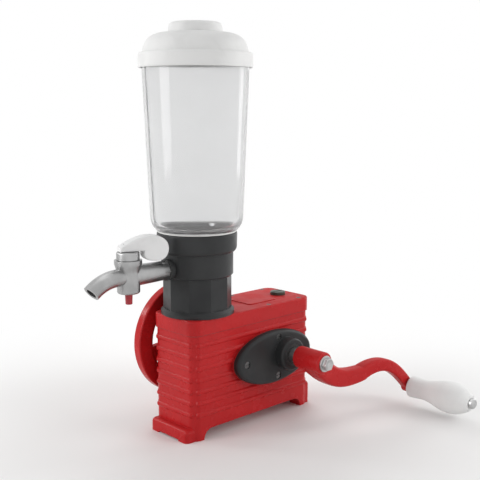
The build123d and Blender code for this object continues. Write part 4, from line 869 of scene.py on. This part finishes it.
def studio_floor():
    """Pale disc under the object: lit and shaded near it, and plain white further out.

    The white share rises smoothly with the distance from the middle, for what is seen, mirrored and seen
    through.
    """
    rings, spokes = [0.0, 0.4, 1.2, 6.0], 64
    shaded_within, white_beyond = 0.2, 0.55
    radius = np.array(rings)[:, None]
    angle = np.linspace(0, 2 * pi, spokes, endpoint=False)
    points = np.dstack([radius * np.cos(angle), radius * np.sin(angle), 0 * radius * angle])
    mesh = grid_mesh("studio_floor", (points, False))
    floor = bpy.data.objects.new("studio_floor", mesh)
    bpy.context.scene.collection.objects.link(floor)
    made, tree, shader = blank("pale floor")
    feed(tree, shader, "Base Color", (0.8, 0.795, 0.79, 1))
    feed(tree, shader, "Roughness", 0.7)
    place = tree.nodes.new("ShaderNodeTexCoord").outputs["Object"]
    away = tree.nodes.new("ShaderNodeVectorMath")
    away.operation = "LENGTH"
    tree.links.new(place, away.inputs[0])
    far = step_between(tree, away.outputs["Value"], shaded_within, white_beyond)
    white = node(tree, "ShaderNodeEmission", Color=(1, 1, 1, 1), Strength=1.0)
    blend = tree.nodes.new("ShaderNodeMixShader")
    tree.links.new(calc(tree, "MULTIPLY", far, seen_rays(tree)), blend.inputs[0])
    tree.links.new(shader.outputs[0], blend.inputs[1])
    tree.links.new(white.outputs[0], blend.inputs[2])
    tree.links.new(blend.outputs[0], tree.nodes["Material Output"].inputs["Surface"])
    mesh.materials.append(made)


def lamp(name, place, target, size, power, mirrored=True):
    """Rectangular soft light aimed at a point, which glossy surfaces may mirror."""
    data = bpy.data.lights.new(name, "AREA")
    data.shape = "RECTANGLE"
    data.size, data.size_y = size
    data.energy = power
    made = bpy.data.objects.new(name, data)
    made.location = place
    made.visible_glossy = mirrored
    made.visible_transmission = False
    made.rotation_euler = (Vector(target) - Vector(place)).to_track_quat("-Z", "Y").to_euler()
    bpy.context.scene.collection.objects.link(made)


def camera():
    """Camera at the photograph's place, fitted to the case, tower and jar."""
    left_of_tower, in_front, above = 0.6134, 0.7187, 0.3747
    heading, pitch = radians(-43.46), radians(9.09)
    data = bpy.data.cameras.new("camera")
    data.sensor_width = 36.0
    data.lens = 62.63
    made = bpy.data.objects.new("camera", data)
    made.location = (tower_axis[0] - left_of_tower, -in_front, above)
    ahead = Vector((-sin(heading) * cos(pitch), cos(heading) * cos(pitch), -sin(pitch)))
    made.rotation_euler = ahead.to_track_quat("-Z", "Y").to_euler()
    bpy.context.scene.collection.objects.link(made)
    bpy.context.scene.camera = made


def studio_world():
    """Plain white surround for what is seen, mirrored or seen through the jar, and a soft grey fill."""
    fill_light, white = 0.42, 1.0
    world = bpy.data.worlds.new("studio")
    world.use_nodes = True
    tree = world.node_tree
    feed(tree, tree.nodes["Background"], "Color", (1, 1, 1, 1))
    feed(tree, tree.nodes["Background"], "Strength", spread(tree, seen_rays(tree), fill_light, white))
    bpy.context.scene.world = world


studio_floor()
middle = (0, 0, 0.22)
cover = (0.06, 0, 0.14)
lamp("left window", place=(-1.35, 0.45, 0.7), target=middle, size=(0.6, 1.3), power=10.5)
lamp("left glint", place=(-0.75, 1.15, 0.85), target=middle, size=(0.2, 0.25), power=2.6)
lamp("right panel", place=(1.45, -0.45, 0.7), target=middle, size=(0.45, 1.3), power=5)
lamp("front fill", place=(0.7, -1.35, 0.6), target=middle, size=(0.8, 1.0), power=10, mirrored=False)
lamp("back panel", place=(0.45, 0.5, 0.45), target=cover, size=(0.6, 0.3), power=2.4, mirrored=False)
lamp("top panel", place=(0.1, 0.1, 1.7), target=middle, size=(1.2, 1.2), power=2.4)
camera()
studio_world()
bpy.context.scene.view_settings.view_transform = "Standard"
